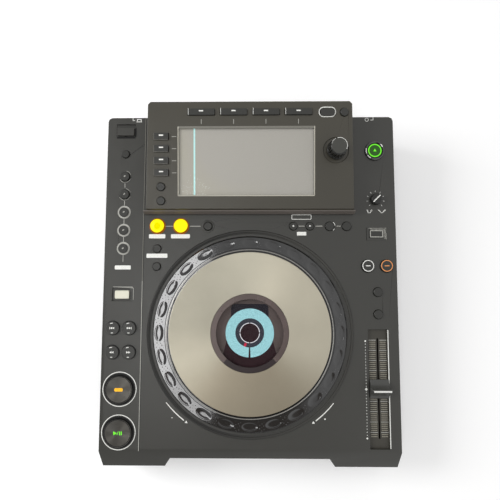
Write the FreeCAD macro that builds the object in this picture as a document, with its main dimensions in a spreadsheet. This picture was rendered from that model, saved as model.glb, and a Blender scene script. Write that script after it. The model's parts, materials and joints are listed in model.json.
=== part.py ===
import FreeCAD, Part
import os
import re
import Sketcher

# Tabletop player for discs: a wedge-shaped case with a control panel on top, a display housing
# at the back of the panel, a big jog wheel, a tempo fader and many sprung buttons.
# Millimetres and degrees. The row frame has +Z up, +Y to the rear and its origin under the middle.

# Driving dimensions
SIZES = {
    # case and control panel
    "case_width": 306,
    "panel_length": 348,
    "panel_thick": 3,
    "panel_slope": 3,
    "panel_front_height": 56,
    "bevel_run": 16.7,
    "bevel_drop": 8,
    "leg_gap_front": 174,
    "leg_gap_back": 162,
    "bevel_middle_run": 7.5,
    "front_wall_setback": 4,
    "corner_taper": 2.5,
    "corner_radius": 4.5,
    "wall": 2.5,
    "floor_thick": 2.5,
    "foot_height": 6,
    "foot_radius": 10,
    "foot_side_inset": 24,
    "foot_front_y": 12,
    "foot_rear_y": 322,
    "clearance": 0.3,
    "running_fit": 0.05,
    # screws that hold the panel to the case
    "boss_radius": 4.2,
    "screw_radius": 1.5,
    "screw_head_radius": 2.9,
    "screw_head_thick": 1.8,
    "screw_length": 16,
    "screw_front_inset": 45,
    "screw_front_y": 10,
    "screw_middle_inset": 41,
    "screw_middle_y": 247,
    "screw_rear_x": 117,
    "screw_rear_y": 295.5,
    # separate plates in the front and rear walls
    "slot_plate_margin": 1,
    "rear_plate_inset": 11,
    # display housing
    "housing_front_y": 246.2,
    "housing_front_height": 11.8,
    "housing_lip_run": 3.6,
    "housing_tilt": 6,
    "housing_length": 110,
    "housing_front_width": 215,
    "housing_rear_width": 210,
    "housing_wall": 3,
    "window_length": 140,
    "window_depth": 70,
    "window_x": -3.5,
    "window_centre": 48.8,
    "window_sink": 1,
    "window_thick": 1,
    "window_ledge": 3,
    "lcd_thick": 6,
    # jog wheel
    "jog_y": 119,
    "trim_width": 5,
    "trim_rise": 1.2,
    "jog_radius": 99.2,
    "jog_gap": 0.6,
    "jog_rise": 6,
    "jog_skirt": 8,
    "rim_width": 14.9,
    "rim_bevel": 1.2,
    "ring_wall": 4,
    "flange_radius": 64,
    "flange_thick": 1.6,
    "plate_gap": 1.2,
    "plate_thick": 2,
    "plate_rise": 6.4,
    "plate_bevel": 0.5,
    "jog_window_radius": 40,
    "jog_window_seat": 1.4,
    "jog_window_bevel": 0.3,
    "hub_wall": 2.6,
    "drum_step": 1,
    "drum_wall": 2.6,
    "jog_display_radius": 35,
    "jog_display_rise": 2,
    "jog_display_thick": 3,
    "dish_gap": 0.4,
    "dish_wall": 1.2,
    "dish_floor": 2.5,
    "dish_depth": 14,
    "dimple_count": 24,
    "dimple_length": 17,
    "dimple_width": 8.6,
    "dimple_depth": 1.8,
    "dimple_cap_rise": 1.35,
    # round buttons: radii and how far they stand above the panel
    "button_travel": 1,
    "button_lip": 0.9,
    "mini_radius": 4.1,
    "mini_rise": 1.6,
    "small_radius": 4.6,
    "small_rise": 1.8,
    "beat_radius": 5,
    "beat_rise": 2,
    "skip_radius": 7,
    "skip_rise": 2.2,
    "loop_radius": 7.4,
    "loop_rise": 2.4,
    "sync_radius": 6.5,
    "sync_rise": 2.2,
    "eject_radius": 7.7,
    "eject_rise": 2.2,
    "start_radius": 13.8,
    "start_rise": 3.2,
    "start_well_radius": 15.5,
    "start_well_depth": 1,
    "eject_bezel_radius": 10.3,
    "eject_bezel_rise": 1.4,
    # places of the buttons on the panel
    "left_column_inset": 19.7,
    "right_column_inset": 20.5,
    "usb_stop_y": 307.7,
    "beat_first_y": 283.1,
    "beat_pitch": 19.25,
    "skip_pitch": 17.1,
    "track_y": 123.4,
    "search_y": 98.8,
    "cue_y": 61.4,
    "play_y": 18.6,
    "loop_row_y": 229.6,
    "loop_in_x": -97.6,
    "loop_out_x": -72.7,
    "reloop_x": -44.1,
    "four_beat_y": 206,
    "slip_y": 187.2,
    "call_back_x": 45.6,
    "call_next_x": 63,
    "delete_x": 83.7,
    "memory_x": 101.5,
    "eject_y": 310.3,
    "sync_pitch": 19.4,
    "sync_y": 187.8,
    "tempo_range_y": 160.8,
    "master_tempo_y": 137.9,
    # keys in recesses
    "key_corner": 1,
    "recess_length": 21,
    "recess_width": 13.2,
    "recess_depth": 1.4,
    "recess_key_length": 14.6,
    "recess_key_width": 8.2,
    "recess_key_rise": 0.8,
    "reverse_y": 157.9,
    "jog_mode_y": 221.4,
    # keys and buttons on the display housing
    "top_key_length": 27.5,
    "top_key_width": 6.4,
    "top_key_pitch": 33.3,
    "top_key_place": 99.4,
    "source_key_length": 14.6,
    "source_key_width": 6.8,
    "source_key_x": -91.2,
    "source_key_first": 74.6,
    "source_key_pitch": 12.43,
    "key_rise": 1.6,
    "back_length": 14,
    "back_width": 7,
    "back_x": 79.5,
    "back_place": 98.7,
    "tag_x": 96.8,
    "time_mode_x": -91.8,
    "time_mode_place": 22.7,
    "quantize_place": 8.3,
    # selector knob and speed knob
    "selector_x": 88.6,
    "selector_place": 60,
    "selector_height": 18.9,
    "selector_skirt_radius": 10,
    "selector_top_radius": 8.6,
    "selector_groove_radius": 13.1,
    "selector_groove_depth": 1,
    "selector_gap": 1.4,
    "skirt_height": 2.4,
    "skirt_slope": 1.2,
    "skirt_step": 0.5,
    "knob_bevel": 1,
    "knob_roof": 4,
    "selector_push": 0.8,
    "flute_count": 18,
    "flute_width": 1.7,
    "flute_depth": 0.7,
    "plunger_radius": 3,
    "plunger_foot_step": 2,
    "plunger_foot_thick": 4,
    "speed_y": 258.1,
    "speed_radius": 6,
    "speed_height": 6,
    "speed_bevel": 0.6,
    "speed_draft": 0.5,
    "speed_shaft_radius": 3,
    "speed_foot_step": 1,
    "speed_foot_thick": 3,
    # tempo fader
    "fader_inset": 21.3,
    "fader_y": 63,
    "fader_well_width": 20.6,
    "fader_well_length": 119.4,
    "fader_flange": 2,
    "fader_plate_thick": 2,
    "fader_slot_width": 1.6,
    "fader_slot_length": 100.4,
    "fader_box_width": 15,
    "fader_box_length": 112,
    "fader_box_depth": 14,
    "fader_channel_width": 6,
    "cap_width": 19.4,
    "cap_length": 18.5,
    "cap_height": 14,
    "cap_ridge_width": 3.4,
    "cap_dish_radius": 13.5,
    "cap_dish_drop": 1,
    "cap_blade_thick": 0.9,
    "cap_blade_length": 4,
    "cap_slider_thick": 4,
    "cap_slider_height": 6,
    "cap_overlap": 1,
    # cover and port of the memory stick
    "cover_width": 19.7,
    "cover_length": 14.1,
    "cover_rear_y": 340.5,
    "cover_thick": 1.3,
    "cover_pin_radius": 1.3,
    "cover_notch_radius": 3,
    "port_width": 12.6,
    "port_height": 5.2,
    "port_depth": 14,
    "port_shell": 0.9,
    "port_offset": 8.6,
    # disc slot and drive
    "disc_slot_width": 124,
    "disc_slot_height": 5.6,
    "disc_slot_middle": 30,
    "drive_width": 146,
    "drive_length": 145,
    "drive_height": 18.5,
    "drive_cavity_height": 8,
    "drive_cavity_length": 130,
    "drive_post_x": 62,
    "drive_post_front": 14,
    "drive_post_rear": 128,
    # main board with the rear sockets
    "board_width": 208,
    "board_length": 92,
    "board_thick": 1.6,
    "board_height": 28,
    "board_gap": 0.5,
    "board_post_x": 97,
    "board_post_front": 262,
    "board_post_rear": 320,
    "socket_shell": 1.2,
    "inlet_x": -88,
    "inlet_width": 18.4,
    "inlet_height": 8.6,
    "inlet_depth": 14,
    "inlet_pin_radius": 1.2,
    "inlet_pin_pitch": 8.6,
    "network_x": -46,
    "network_width": 11.8,
    "network_height": 8.2,
    "network_depth": 12,
    "square_port_x": -14,
    "square_port_width": 8.5,
    "square_port_height": 7.8,
    "square_port_depth": 10,
    "jack_block": 11,
    "jack_radius": 4.1,
    "jack_reach": 5.5,
    "jack_bore": 1.6,
    "jack_first_x": 34,
    "jack_pitch": 17,
    "jack_count": 3,
    # power button on the rear wall
    "power_inset": 27,
    "power_height": 54,
    "power_width": 13,
    "power_tall": 8,
    "power_rise": 3.5,
    "power_travel": 2,
}

DOC = FreeCAD.newDocument("DiscPlayer")
SHEET = DOC.addObject("Spreadsheet::Sheet", "Sizes")
X_AXIS = FreeCAD.Vector(1, 0, 0)
SIDE_VIEW = FreeCAD.Placement(FreeCAD.Vector(), FreeCAD.Rotation(0.5, 0.5, 0.5, 0.5))
PLAN_VIEW = FreeCAD.Placement()
NODES = []
REACH = 400


def fill_sheet():
    """Write every driving dimension into its own cell."""
    for row, (alias, size) in enumerate(SIZES.items(), start=1):
        SHEET.set("A%d" % row, alias)
        SHEET.set("B%d" % row, str(size))
        SHEET.setAlias("B%d" % row, alias)
    DOC.recompute()


def linked(text):
    """Expression text in which each size name points at its cell."""
    return re.sub(r"[a-z][a-z0-9_]*", lambda word: "Sizes." + word.group()
                  if word.group() in SIZES else word.group(), str(text))


def value(text):
    """Number that an expression of sizes gives now."""
    return float(SHEET.evalExpression(linked(text)))


def bind(item, **expressions):
    """Bind properties of an object to expressions of sizes."""
    for name, text in expressions.items():
        item.setExpression(name, linked(text))
    return item


def place(item, x, y, z):
    """Put an object at a place given by three expressions."""
    for axis, text in zip("xyz", (x, y, z)):
        item.setExpression("Placement.Base." + axis, linked(text))
    return item


def block(name, x, y, z, length, width, height):
    """Block centred on x and y that stands on z."""
    item = bind(DOC.addObject("Part::Box", name), Length=length, Width=width, Height=height)
    return place(item, "(%s) - (%s) / 2" % (x, length), "(%s) - (%s) / 2" % (y, width), z)


def rod(name, x, y, z, radius, height):
    """Upright cylinder that stands on z."""
    item = bind(DOC.addObject("Part::Cylinder", name), Radius=radius, Height=height)
    return place(item, x, y, z)


def lying_rod(name, x, y, z, radius, length, axis):
    """Cylinder along an axis, from x, y, z."""
    item = bind(DOC.addObject("Part::Cylinder", name), Radius=radius, Height=length)
    item.Placement = FreeCAD.Placement(FreeCAD.Vector(), FreeCAD.Rotation(FreeCAD.Vector(0, 0, 1), axis))
    return place(item, x, y, z)


def join(name, *pieces):
    """One solid from pieces that meet."""
    item = DOC.addObject("Part::MultiFuse", name)
    item.Shapes = list(pieces)
    item.Refine = True
    return item


def group(name, *pieces):
    """Separate solids under one name."""
    item = DOC.addObject("Part::Compound", name)
    item.Links = list(pieces)
    return item


def cut(name, base, *tools):
    """Base less its tools."""
    tool = tools[0] if len(tools) == 1 else group(name + "_tools", *tools)
    item = DOC.addObject("Part::Cut", name)
    item.Base = base
    item.Tool = tool
    item.Refine = True
    return item


def common(name, first, second):
    """What two solids share."""
    item = DOC.addObject("Part::Common", name)
    item.Base = first
    item.Tool = second
    return item


def draw(sketch, points):
    """Closed outline in a sketch through points given as pairs of expressions."""
    corners = [FreeCAD.Vector(value(across), value(up), 0) for across, up in points]
    count = len(corners)
    for index, corner in enumerate(corners):
        sketch.addGeometry(Part.LineSegment(corner, corners[(index + 1) % count]), False)
    for index in range(count):
        sketch.addConstraint(Sketcher.Constraint("Coincident", index, 2, (index + 1) % count, 1))
    for index, (across, up) in enumerate(points):
        corner = corners[index]
        for kind, text, size in (("DistanceX", across, corner.x), ("DistanceY", up, corner.y)):
            number = sketch.addConstraint(Sketcher.Constraint(kind, -1, 1, index, 1, size))
            sketch.setExpression("Constraints[%d]" % number, linked(text))


def prism(name, view, points, length, both_ways=True):
    """Outline drawn in a view and pulled out square to it."""
    sketch = DOC.addObject("Sketcher::SketchObject", name + "_outline")
    sketch.Placement = view
    draw(sketch, points)
    item = DOC.addObject("Part::Extrusion", name)
    item.Base = sketch
    item.DirMode = "Normal"
    item.Solid = True
    item.Symmetric = both_ways
    return bind(item, LengthFwd=length)


def body(name):
    """Empty body for sketched features."""
    return DOC.addObject("PartDesign::Body", name)


def origin_plane(owner, role):
    """Origin plane or axis of a body."""
    return next(item for item in owner.Origin.OriginFeatures if item.Role == role)


def turned(name, points):
    """Body turned about its upright axis from a half section of radius and height."""
    owner = body(name)
    sketch = owner.newObject("Sketcher::SketchObject", name + "_section")
    sketch.AttachmentSupport = [(origin_plane(owner, "XZ_Plane"), "")]
    sketch.MapMode = "FlatFace"
    draw(sketch, points)
    turn = owner.newObject("PartDesign::Revolution", name + "_turn")
    turn.Profile = sketch
    turn.ReferenceAxis = (sketch, ["V_Axis"])
    turn.Angle = 360
    return owner


def rounded(name, base, radius):
    """Block with its four upright edges rounded."""
    item = DOC.addObject("Part::Fillet", name)
    item.Base = base
    size = value(radius)
    item.Edges = [(edge, size, size) for edge in (1, 3, 5, 7)]
    return item


def level_y(along, above):
    """Depth behind the panel's front edge, level with the table, of a place on the panel."""
    return "((%s) * cos(panel_slope) - (%s) * sin(panel_slope))" % (along, above)


def level_z(along, above):
    """Height above the table of a place on the panel."""
    return "(panel_front_height + (%s) * sin(panel_slope) + (%s) * cos(panel_slope))" % (along, above)


HOUSING_REAR_Y = "(housing_front_y + housing_length * cos(housing_tilt))"
HOUSING_REAR_HEIGHT = "(housing_front_height + housing_length * sin(housing_tilt))"
BAND_DROP = "(bevel_drop + panel_thick)"
CASE_FRONT = level_y("-bevel_run", "-" + BAND_DROP)
CASE_REAR = level_y("panel_length", "-panel_thick")
REAR_INSIDE = "(%s - wall)" % CASE_REAR
SLOT_PLATE_WIDTH = "(drive_width + 2 * slot_plate_margin)"
REAR_PLATE_WIDTH = "(case_width - 2 * rear_plate_inset)"
FLOOR_TOP = "(foot_height + floor_thick)"
DRIVE_BASE = "(disc_slot_middle - drive_height / 2)"
BOARD_TOP = "(board_height + board_thick)"
LEFT_COLUMN = "(left_column_inset - case_width / 2)"
RIGHT_COLUMN = "(case_width / 2 - right_column_inset)"
FADER_X = "(case_width / 2 - fader_inset)"
POWER_X = "(case_width / 2 - power_inset)"
RIM_INSIDE = "(jog_radius - rim_width)"
PLATE_RADIUS = "(jog_radius - rim_width - plate_gap)"
DRUM_RADIUS = "(jog_window_radius + drum_step)"
DISH_INSIDE = "(jog_radius + jog_gap + dish_gap)"
PORT_HALF = "(port_height / 2 + port_shell + clearance)"


def frames():
    """Placements of what stands level, of the panel and of the display housing."""
    front = value(level_y("-bevel_run", "-bevel_drop"))
    rear = value(level_y(HOUSING_REAR_Y, "0"))
    shift = -(front + rear) / 2
    level = FreeCAD.Placement(FreeCAD.Vector(0, shift, 0), FreeCAD.Rotation())
    slope = FreeCAD.Rotation(X_AXIS, value("panel_slope"))
    panel = FreeCAD.Placement(FreeCAD.Vector(0, shift, value("panel_front_height")), slope)
    tilt = FreeCAD.Rotation(X_AXIS, value("housing_tilt"))
    start = FreeCAD.Vector(0, value("housing_front_y"), value("housing_front_height"))
    return level, panel, FreeCAD.Placement(start, tilt)


def node(label, item, frame, x="0", y="0"):
    """Name a finished piece and set it into its frame at a place."""
    item.Label = label
    offset = FreeCAD.Placement(FreeCAD.Vector(value(x), value(y), 0), FreeCAD.Rotation())
    item.Placement = frame.multiply(offset)
    NODES.append(item)
    return item


def plan_outline(inset, front, rear, setback):
    """Plan of the case with its two front legs and the gap between them."""
    side = "case_width / 2 - %s" % inset
    gap_front = "leg_gap_front / 2 + %s" % inset
    gap_back = "leg_gap_back / 2 + %s" % inset
    right = [(gap_back, "-(%s) + %s" % (setback, inset)),
             (gap_front, "%s + %s" % (front, inset)),
             (side + " - corner_taper", "%s + %s" % (front, inset)),
             (side, "0"),
             (side, "%s - corner_radius" % rear),
             (side + " - corner_radius * (1 - cos(45))",
              "%s - %s - corner_radius * (1 - cos(45))" % (rear, inset)),
             (side + " - corner_radius", "%s - %s" % (rear, inset))]
    left = [("-(%s)" % across, along) for across, along in reversed(right)]
    return right + left


def screw_places():
    """Places of the screws, as pairs of expressions on the panel."""
    pairs = (("(case_width / 2 - screw_front_inset)", "screw_front_y"),
             ("(case_width / 2 - screw_middle_inset)", "screw_middle_y"),
             ("screw_rear_x", "screw_rear_y"))
    return [(sign + across, along) for across, along in pairs for sign in ("", "-")]


def post_places(across, front, rear):
    """Four places in a rectangle about the middle."""
    return [(sign + across, along) for along in (front, rear) for sign in ("", "-")]


def rear_sockets():
    """Rectangular sockets of the rear wall: name, place across, width, height and depth."""
    return [("inlet", "inlet_x", "inlet_width", "inlet_height", "inlet_depth"),
            ("network", "network_x", "network_width", "network_height", "network_depth"),
            ("square_port", "square_port_x", "square_port_width", "square_port_height",
             "square_port_depth")]


def jack_places():
    """Places across of the round audio jacks."""
    return ["jack_first_x + %d * jack_pitch" % index for index in range(int(value("jack_count")))]


def jack_height():
    """Height of the round jacks' axes."""
    return "(%s + jack_block / 2)" % BOARD_TOP


def lower_case(frame):
    """Tray with two front legs, drive posts, board posts and screw bosses, and its wall plates."""
    front_top = (level_y("-bevel_run", "-" + BAND_DROP), level_z("-bevel_run", "-" + BAND_DROP))
    bend = (level_y("0", "-panel_thick"), level_z("0", "-panel_thick"))
    rear_top = (CASE_REAR, level_z("panel_length", "-panel_thick"))
    side = prism("case_side", SIDE_VIEW,
                 [(CASE_FRONT, "foot_height"), (CASE_REAR, "foot_height"), rear_top, bend, front_top],
                 "case_width")
    plan = prism("case_plan", PLAN_VIEW,
                 plan_outline("0", CASE_FRONT, CASE_REAR, "front_wall_setback"), str(REACH), False)
    hollow = prism("case_hollow", PLAN_VIEW,
                   plan_outline("wall", CASE_FRONT, CASE_REAR, "front_wall_setback"), str(REACH), False)
    place(hollow, "0", "0", FLOOR_TOP)
    tray = cut("case_tray", common("case_outside", side, plan), hollow)
    bosses = []
    bores = []
    for index, (across, along) in enumerate(screw_places()):
        depth = level_y(along, "-panel_thick")
        bosses.append(rod("case_boss_%d" % index, across, depth, "foot_height", "boss_radius",
                          "panel_front_height"))
        bores.append(rod("case_bore_%d" % index, across, depth, "0", "screw_radius + clearance / 2",
                         "foot_height + screw_length + clearance"))
        bores.append(rod("case_sink_%d" % index, across, depth, "0", "screw_head_radius + clearance",
                         "foot_height + screw_head_thick + clearance"))
    for index, (across, along) in enumerate(post_places("drive_post_x", "drive_post_front",
                                                        "drive_post_rear")):
        bosses.append(rod("drive_post_%d" % index, across, along, "foot_height", "boss_radius",
                          "%s - foot_height" % DRIVE_BASE))
    for index, (across, along) in enumerate(post_places("board_post_x", "board_post_front",
                                                        "board_post_rear")):
        bosses.append(rod("board_post_%d" % index, across, along, "foot_height", "boss_radius",
                          "board_height - foot_height"))
    posts = common("case_posts", group("case_post_group", *bosses), side)
    gaps = [block("case_front_gap", "0", "-front_wall_setback", FLOOR_TOP, SLOT_PLATE_WIDTH,
                  "4 * wall", str(REACH)),
            block("case_rear_gap", "0", CASE_REAR, FLOOR_TOP, REAR_PLATE_WIDTH, "4 * wall", str(REACH))]
    shell = join("case_shell", tray, posts)
    node("lower_case", cut("case_finished", shell, *(gaps + bores)), frame)
    slot_plate(side, frame)
    rear_plate(side, frame)


def slot_plate(side, frame):
    """Plate of the front wall between the legs, with the disc slot."""
    blank = block("slot_blank", "0", "-front_wall_setback + wall / 2", FLOOR_TOP,
                  "(drive_width + 2 * slot_plate_margin) - 2 * clearance", "wall", str(REACH))
    slot = block("disc_slot", "0", "-front_wall_setback", "disc_slot_middle - disc_slot_height / 2",
                 "disc_slot_width", "4 * wall", "disc_slot_height")
    plate = cut("slot_plate_finished", common("slot_plate_blank", blank, side), slot)
    return node("slot_plate", plate, frame)


def rear_plate(side, frame):
    """Plate of the rear wall, with a window for each socket and the power button."""
    blank = block("rear_blank", "0", "%s - wall / 2" % CASE_REAR, FLOOR_TOP,
                  "(case_width - 2 * rear_plate_inset) - 2 * clearance", "wall", str(REACH))
    windows = []
    for name, across, width, height, depth in rear_sockets():
        windows.append(block("rear_%s_window" % name, across, CASE_REAR, "%s - clearance" % BOARD_TOP,
                             "%s + 2 * socket_shell + 2 * clearance" % width, "4 * wall",
                             "%s + 2 * socket_shell + 2 * clearance" % height))
    for index, across in enumerate(jack_places()):
        windows.append(lying_rod("rear_jack_window_%d" % index, across, "%s + 2 * wall" % CASE_REAR,
                                 jack_height(), "jack_radius + clearance", "4 * wall",
                                 FreeCAD.Vector(0, -1, 0)))
    windows.append(block("rear_power_window", POWER_X, CASE_REAR, "power_height - clearance",
                         "power_width + 2 * clearance", "4 * wall", "power_tall + 2 * clearance"))
    return node("rear_plate", cut("rear_plate_finished", common("rear_plate_blank", blank, side), *windows),
                frame)


def panel_holes():
    """Tools that open the panel under its round buttons."""
    holes = []
    for label, across, along, radius, rise in PANEL_BUTTONS:
        holes.append(rod(label + "_hole", across, along, "-2 * panel_thick",
                         radius + " + clearance", "4 * panel_thick"))
    return holes


def control_panel(frame):
    """Top plate with the bevelled front band, the jog trim and all openings."""
    side = prism("panel_side", SIDE_VIEW,
                 [("-bevel_run", "-" + BAND_DROP), ("0", "-panel_thick"), ("panel_length", "-panel_thick"),
                  ("panel_length", "0"), ("0", "0"), ("-bevel_run", "-bevel_drop")], "case_width")
    plan = prism("panel_plan", PLAN_VIEW,
                 plan_outline("0", "-bevel_run", "panel_length", "bevel_middle_run"), str(REACH))
    trim = rod("jog_trim", "0", "jog_y", "-panel_thick", "jog_radius + trim_width",
               "panel_thick + trim_rise")
    bezel = rod("eject_bezel", RIGHT_COLUMN, "eject_y", "-panel_thick", "eject_bezel_radius",
                "panel_thick + eject_bezel_rise")
    solid = join("panel_solid", common("panel_plate", side, plan), trim, bezel)
    tools = panel_holes()
    tools.append(rod("jog_hole", "0", "jog_y", "-2 * panel_thick", "jog_radius + jog_gap",
                     "4 * panel_thick"))
    for label, along in (("cue", "cue_y"), ("play", "play_y")):
        tools.append(rod(label + "_well", LEFT_COLUMN, along, "-start_well_depth",
                         "start_well_radius", "2 * start_well_depth"))
    for label, across, along in (("reverse", LEFT_COLUMN, "reverse_y"),
                                 ("jog_mode", RIGHT_COLUMN, "jog_mode_y")):
        tools.append(block(label + "_recess", across, along, "-recess_depth", "recess_length",
                           "recess_width", "2 * recess_depth"))
        tools.append(block(label + "_hole", across, along, "-2 * panel_thick",
                           "recess_key_length + 2 * clearance", "recess_key_width + 2 * clearance",
                           "2 * panel_thick"))
    tools.append(block("fader_well", FADER_X, "fader_y", "-2 * panel_thick", "fader_well_width",
                       "fader_well_length", "4 * panel_thick"))
    tools.append(rod("speed_hole", RIGHT_COLUMN, "speed_y", "-2 * panel_thick",
                     "speed_shaft_radius + clearance", "4 * panel_thick"))
    tools.append(block("cover_recess", LEFT_COLUMN, "cover_rear_y - cover_length / 2",
                       "-cover_thick - clearance", "cover_width + 2 * clearance",
                       "cover_length + 2 * clearance", "2 * panel_thick"))
    tools.append(block("cover_trough", LEFT_COLUMN, "cover_rear_y - cover_pin_radius",
                       "-2 * panel_thick", "cover_width + 2 * clearance",
                       "2 * cover_pin_radius + 2 * clearance", "4 * panel_thick"))
    tools.append(block("port_hole", LEFT_COLUMN,
                       "cover_rear_y - (port_offset + %s + cover_pin_radius) / 2" % PORT_HALF,
                       "-2 * panel_thick", "port_width + 2 * port_shell + 2 * clearance",
                       "port_offset + %s - cover_pin_radius" % PORT_HALF, "4 * panel_thick"))
    tools.append(block("electronics_opening", "0",
                       "(housing_front_y + panel_length) / 2 - housing_wall",
                       "-2 * panel_thick", "housing_rear_width - 8 * housing_wall",
                       "panel_length - housing_front_y - 8 * housing_wall", "4 * panel_thick"))
    return node("control_panel", cut("panel_finished", solid, *tools), frame)


def housing_plan(inset):
    """Tapered plan of the display housing."""
    front = "housing_front_y - housing_lip_run + %s" % inset
    rear = "%s - %s" % (HOUSING_REAR_Y, inset)
    return [("-housing_front_width / 2 + %s + corner_taper" % inset, front),
            ("housing_front_width / 2 - %s - corner_taper" % inset, front),
            ("housing_front_width / 2 - %s" % inset, front + " + corner_taper"),
            ("housing_rear_width / 2 - %s" % inset, rear + " - corner_taper"),
            ("housing_rear_width / 2 - %s - corner_taper" % inset, rear),
            ("-housing_rear_width / 2 + %s + corner_taper" % inset, rear),
            ("-housing_rear_width / 2 + %s" % inset, rear + " - corner_taper"),
            ("-housing_front_width / 2 + %s" % inset, front + " + corner_taper")]


def display_housing(frame, tilt):
    """Wedge-shaped hollow housing with window, keys and the selector groove."""
    outside = prism("housing_side", SIDE_VIEW,
                    [("housing_front_y - housing_lip_run", "0"), (HOUSING_REAR_Y, "0"),
                     (HOUSING_REAR_Y, HOUSING_REAR_HEIGHT),
                     ("housing_front_y", "housing_front_height")], str(REACH))
    inside = prism("housing_inside", SIDE_VIEW,
                   [("housing_front_y", "-1"),
                    ("panel_length - housing_wall", "-1"),
                    ("panel_length - housing_wall", "housing_wall"),
                    (HOUSING_REAR_Y + " - housing_wall", "housing_wall"),
                    (HOUSING_REAR_Y + " - housing_wall",
                     HOUSING_REAR_HEIGHT + " - housing_wall / cos(housing_tilt)"
                     " - housing_wall * tan(housing_tilt)"),
                    ("housing_front_y + housing_wall",
                     "housing_front_height - housing_wall / cos(housing_tilt)"
                     " + housing_wall * tan(housing_tilt)")], str(REACH))
    shell = cut("housing_shell",
                common("housing_solid", outside, prism("housing_plan", PLAN_VIEW, housing_plan("0"),
                                                       str(REACH))),
                common("housing_cavity", inside, prism("housing_inner_plan", PLAN_VIEW,
                                                       housing_plan("housing_wall"), str(REACH))))
    tools = [block("window_recess", "window_x", "window_centre", "-window_sink - window_thick",
                   "window_length", "window_depth", "2 * housing_wall"),
             block("lcd_opening", "window_x", "window_centre", "-2 * housing_wall",
                   "window_length - 2 * window_ledge", "window_depth - 2 * window_ledge",
                   "2 * housing_wall"),
             rod("plunger_hole", "selector_x", "selector_place", "-2 * housing_wall",
                 "plunger_radius + clearance", "4 * housing_wall"),
             rod("selector_groove", "selector_x", "selector_place", "-selector_groove_depth",
                 "selector_groove_radius", "2 * selector_groove_depth")]
    for label, across, along, length, width in HOUSING_KEYS:
        tools.append(block(label + "_hole", across, along, "-2 * housing_wall",
                           length + " + 2 * clearance", width + " + 2 * clearance", "4 * housing_wall"))
    for label, across, along, radius, rise in HOUSING_BUTTONS:
        tools.append(rod(label + "_hole", across, along, "-2 * housing_wall",
                         radius + " + clearance", "4 * housing_wall"))
    openings = group("housing_openings", *tools)
    openings.Placement = tilt
    return node("display_housing", cut("housing_finished", shell, openings), frame)


# Round buttons: name, place across, place along, radius, rise above the surface
PANEL_BUTTONS = [
    ("usb_stop_button", LEFT_COLUMN, "usb_stop_y", "mini_radius", "mini_rise"),
    ("track_back_button", LEFT_COLUMN + " - skip_pitch / 2", "track_y", "skip_radius", "skip_rise"),
    ("track_next_button", LEFT_COLUMN + " + skip_pitch / 2", "track_y", "skip_radius", "skip_rise"),
    ("search_back_button", LEFT_COLUMN + " - skip_pitch / 2", "search_y", "skip_radius", "skip_rise"),
    ("search_forward_button", LEFT_COLUMN + " + skip_pitch / 2", "search_y", "skip_radius", "skip_rise"),
    ("cue_button", LEFT_COLUMN, "cue_y", "start_radius", "start_rise"),
    ("play_button", LEFT_COLUMN, "play_y", "start_radius", "start_rise"),
    ("loop_in_button", "loop_in_x", "loop_row_y", "loop_radius", "loop_rise"),
    ("loop_out_button", "loop_out_x", "loop_row_y", "loop_radius", "loop_rise"),
    ("reloop_button", "reloop_x", "loop_row_y", "mini_radius", "mini_rise"),
    ("four_beat_button", "loop_in_x", "four_beat_y", "mini_radius", "mini_rise"),
    ("slip_button", "loop_in_x", "slip_y", "mini_radius", "mini_rise"),
    ("call_back_button", "call_back_x", "loop_row_y", "mini_radius", "mini_rise"),
    ("call_next_button", "call_next_x", "loop_row_y", "mini_radius", "mini_rise"),
    ("delete_button", "delete_x", "loop_row_y", "small_radius", "small_rise"),
    ("memory_button", "memory_x", "loop_row_y", "small_radius", "small_rise"),
    ("eject_button", RIGHT_COLUMN, "eject_y", "eject_radius", "eject_rise"),
    ("sync_button", RIGHT_COLUMN + " - sync_pitch / 2", "sync_y", "sync_radius", "sync_rise"),
    ("master_button", RIGHT_COLUMN + " + sync_pitch / 2", "sync_y", "sync_radius", "sync_rise"),
    ("tempo_range_button", RIGHT_COLUMN, "tempo_range_y", "small_radius", "small_rise"),
    ("master_tempo_button", RIGHT_COLUMN, "master_tempo_y", "small_radius", "small_rise"),
] + [("beat_button_%d" % (index + 1), LEFT_COLUMN, "beat_first_y - %d * beat_pitch" % index,
      "beat_radius", "beat_rise") for index in range(5)]
HOUSING_BUTTONS = [
    ("tag_button", "tag_x", "back_place", "mini_radius", "mini_rise"),
    ("time_mode_button", "time_mode_x", "time_mode_place", "mini_radius", "mini_rise"),
    ("quantize_button", "time_mode_x", "quantize_place", "mini_radius", "mini_rise"),
]
# Keys of the housing: name, place across, place along, length, width
HOUSING_KEYS = [("top_key_%d" % (index + 1), "(%d - 1.5) * top_key_pitch" % index, "top_key_place",
                 "top_key_length", "top_key_width") for index in range(4)]
HOUSING_KEYS += [("source_key_%d" % (index + 1), "source_key_x",
                  "source_key_first - %d * source_key_pitch" % index,
                  "source_key_length", "source_key_width") for index in range(4)]
HOUSING_KEYS += [("back_button", "back_x", "back_place", "back_length", "back_width")]


def round_button(label, across, along, radius, rise, thick, frame):
    """Sprung button with a bevelled edge and the lip that keeps it under the surface."""
    lip_top = "-%s - clearance" % thick
    profile = [("0", lip_top + " - button_lip"), (radius + " + button_lip", lip_top + " - button_lip"),
               (radius + " + button_lip", lip_top), (radius, lip_top),
               (radius, rise + " - button_lip / 2"), (radius + " - button_lip / 2", rise), ("0", rise)]
    return node(label, turned(label + "_body", profile), frame, across, along)


def key(label, across, along, length, width, rise, thick, frame):
    """Sprung rectangular key with rounded corners and a lip under the surface."""
    lip_top = "-%s - clearance" % thick
    stem = rounded(label + "_top", block(label + "_block", "0", "0", lip_top, length, width,
                                         "%s + %s + clearance" % (rise, thick)), "key_corner")
    lip = block(label + "_lip", "0", "0", lip_top + " - button_lip", length + " + 2 * button_lip",
                width + " + 2 * button_lip", "button_lip")
    return node(label, join(label + "_key", stem, lip), frame, across, along)


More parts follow.
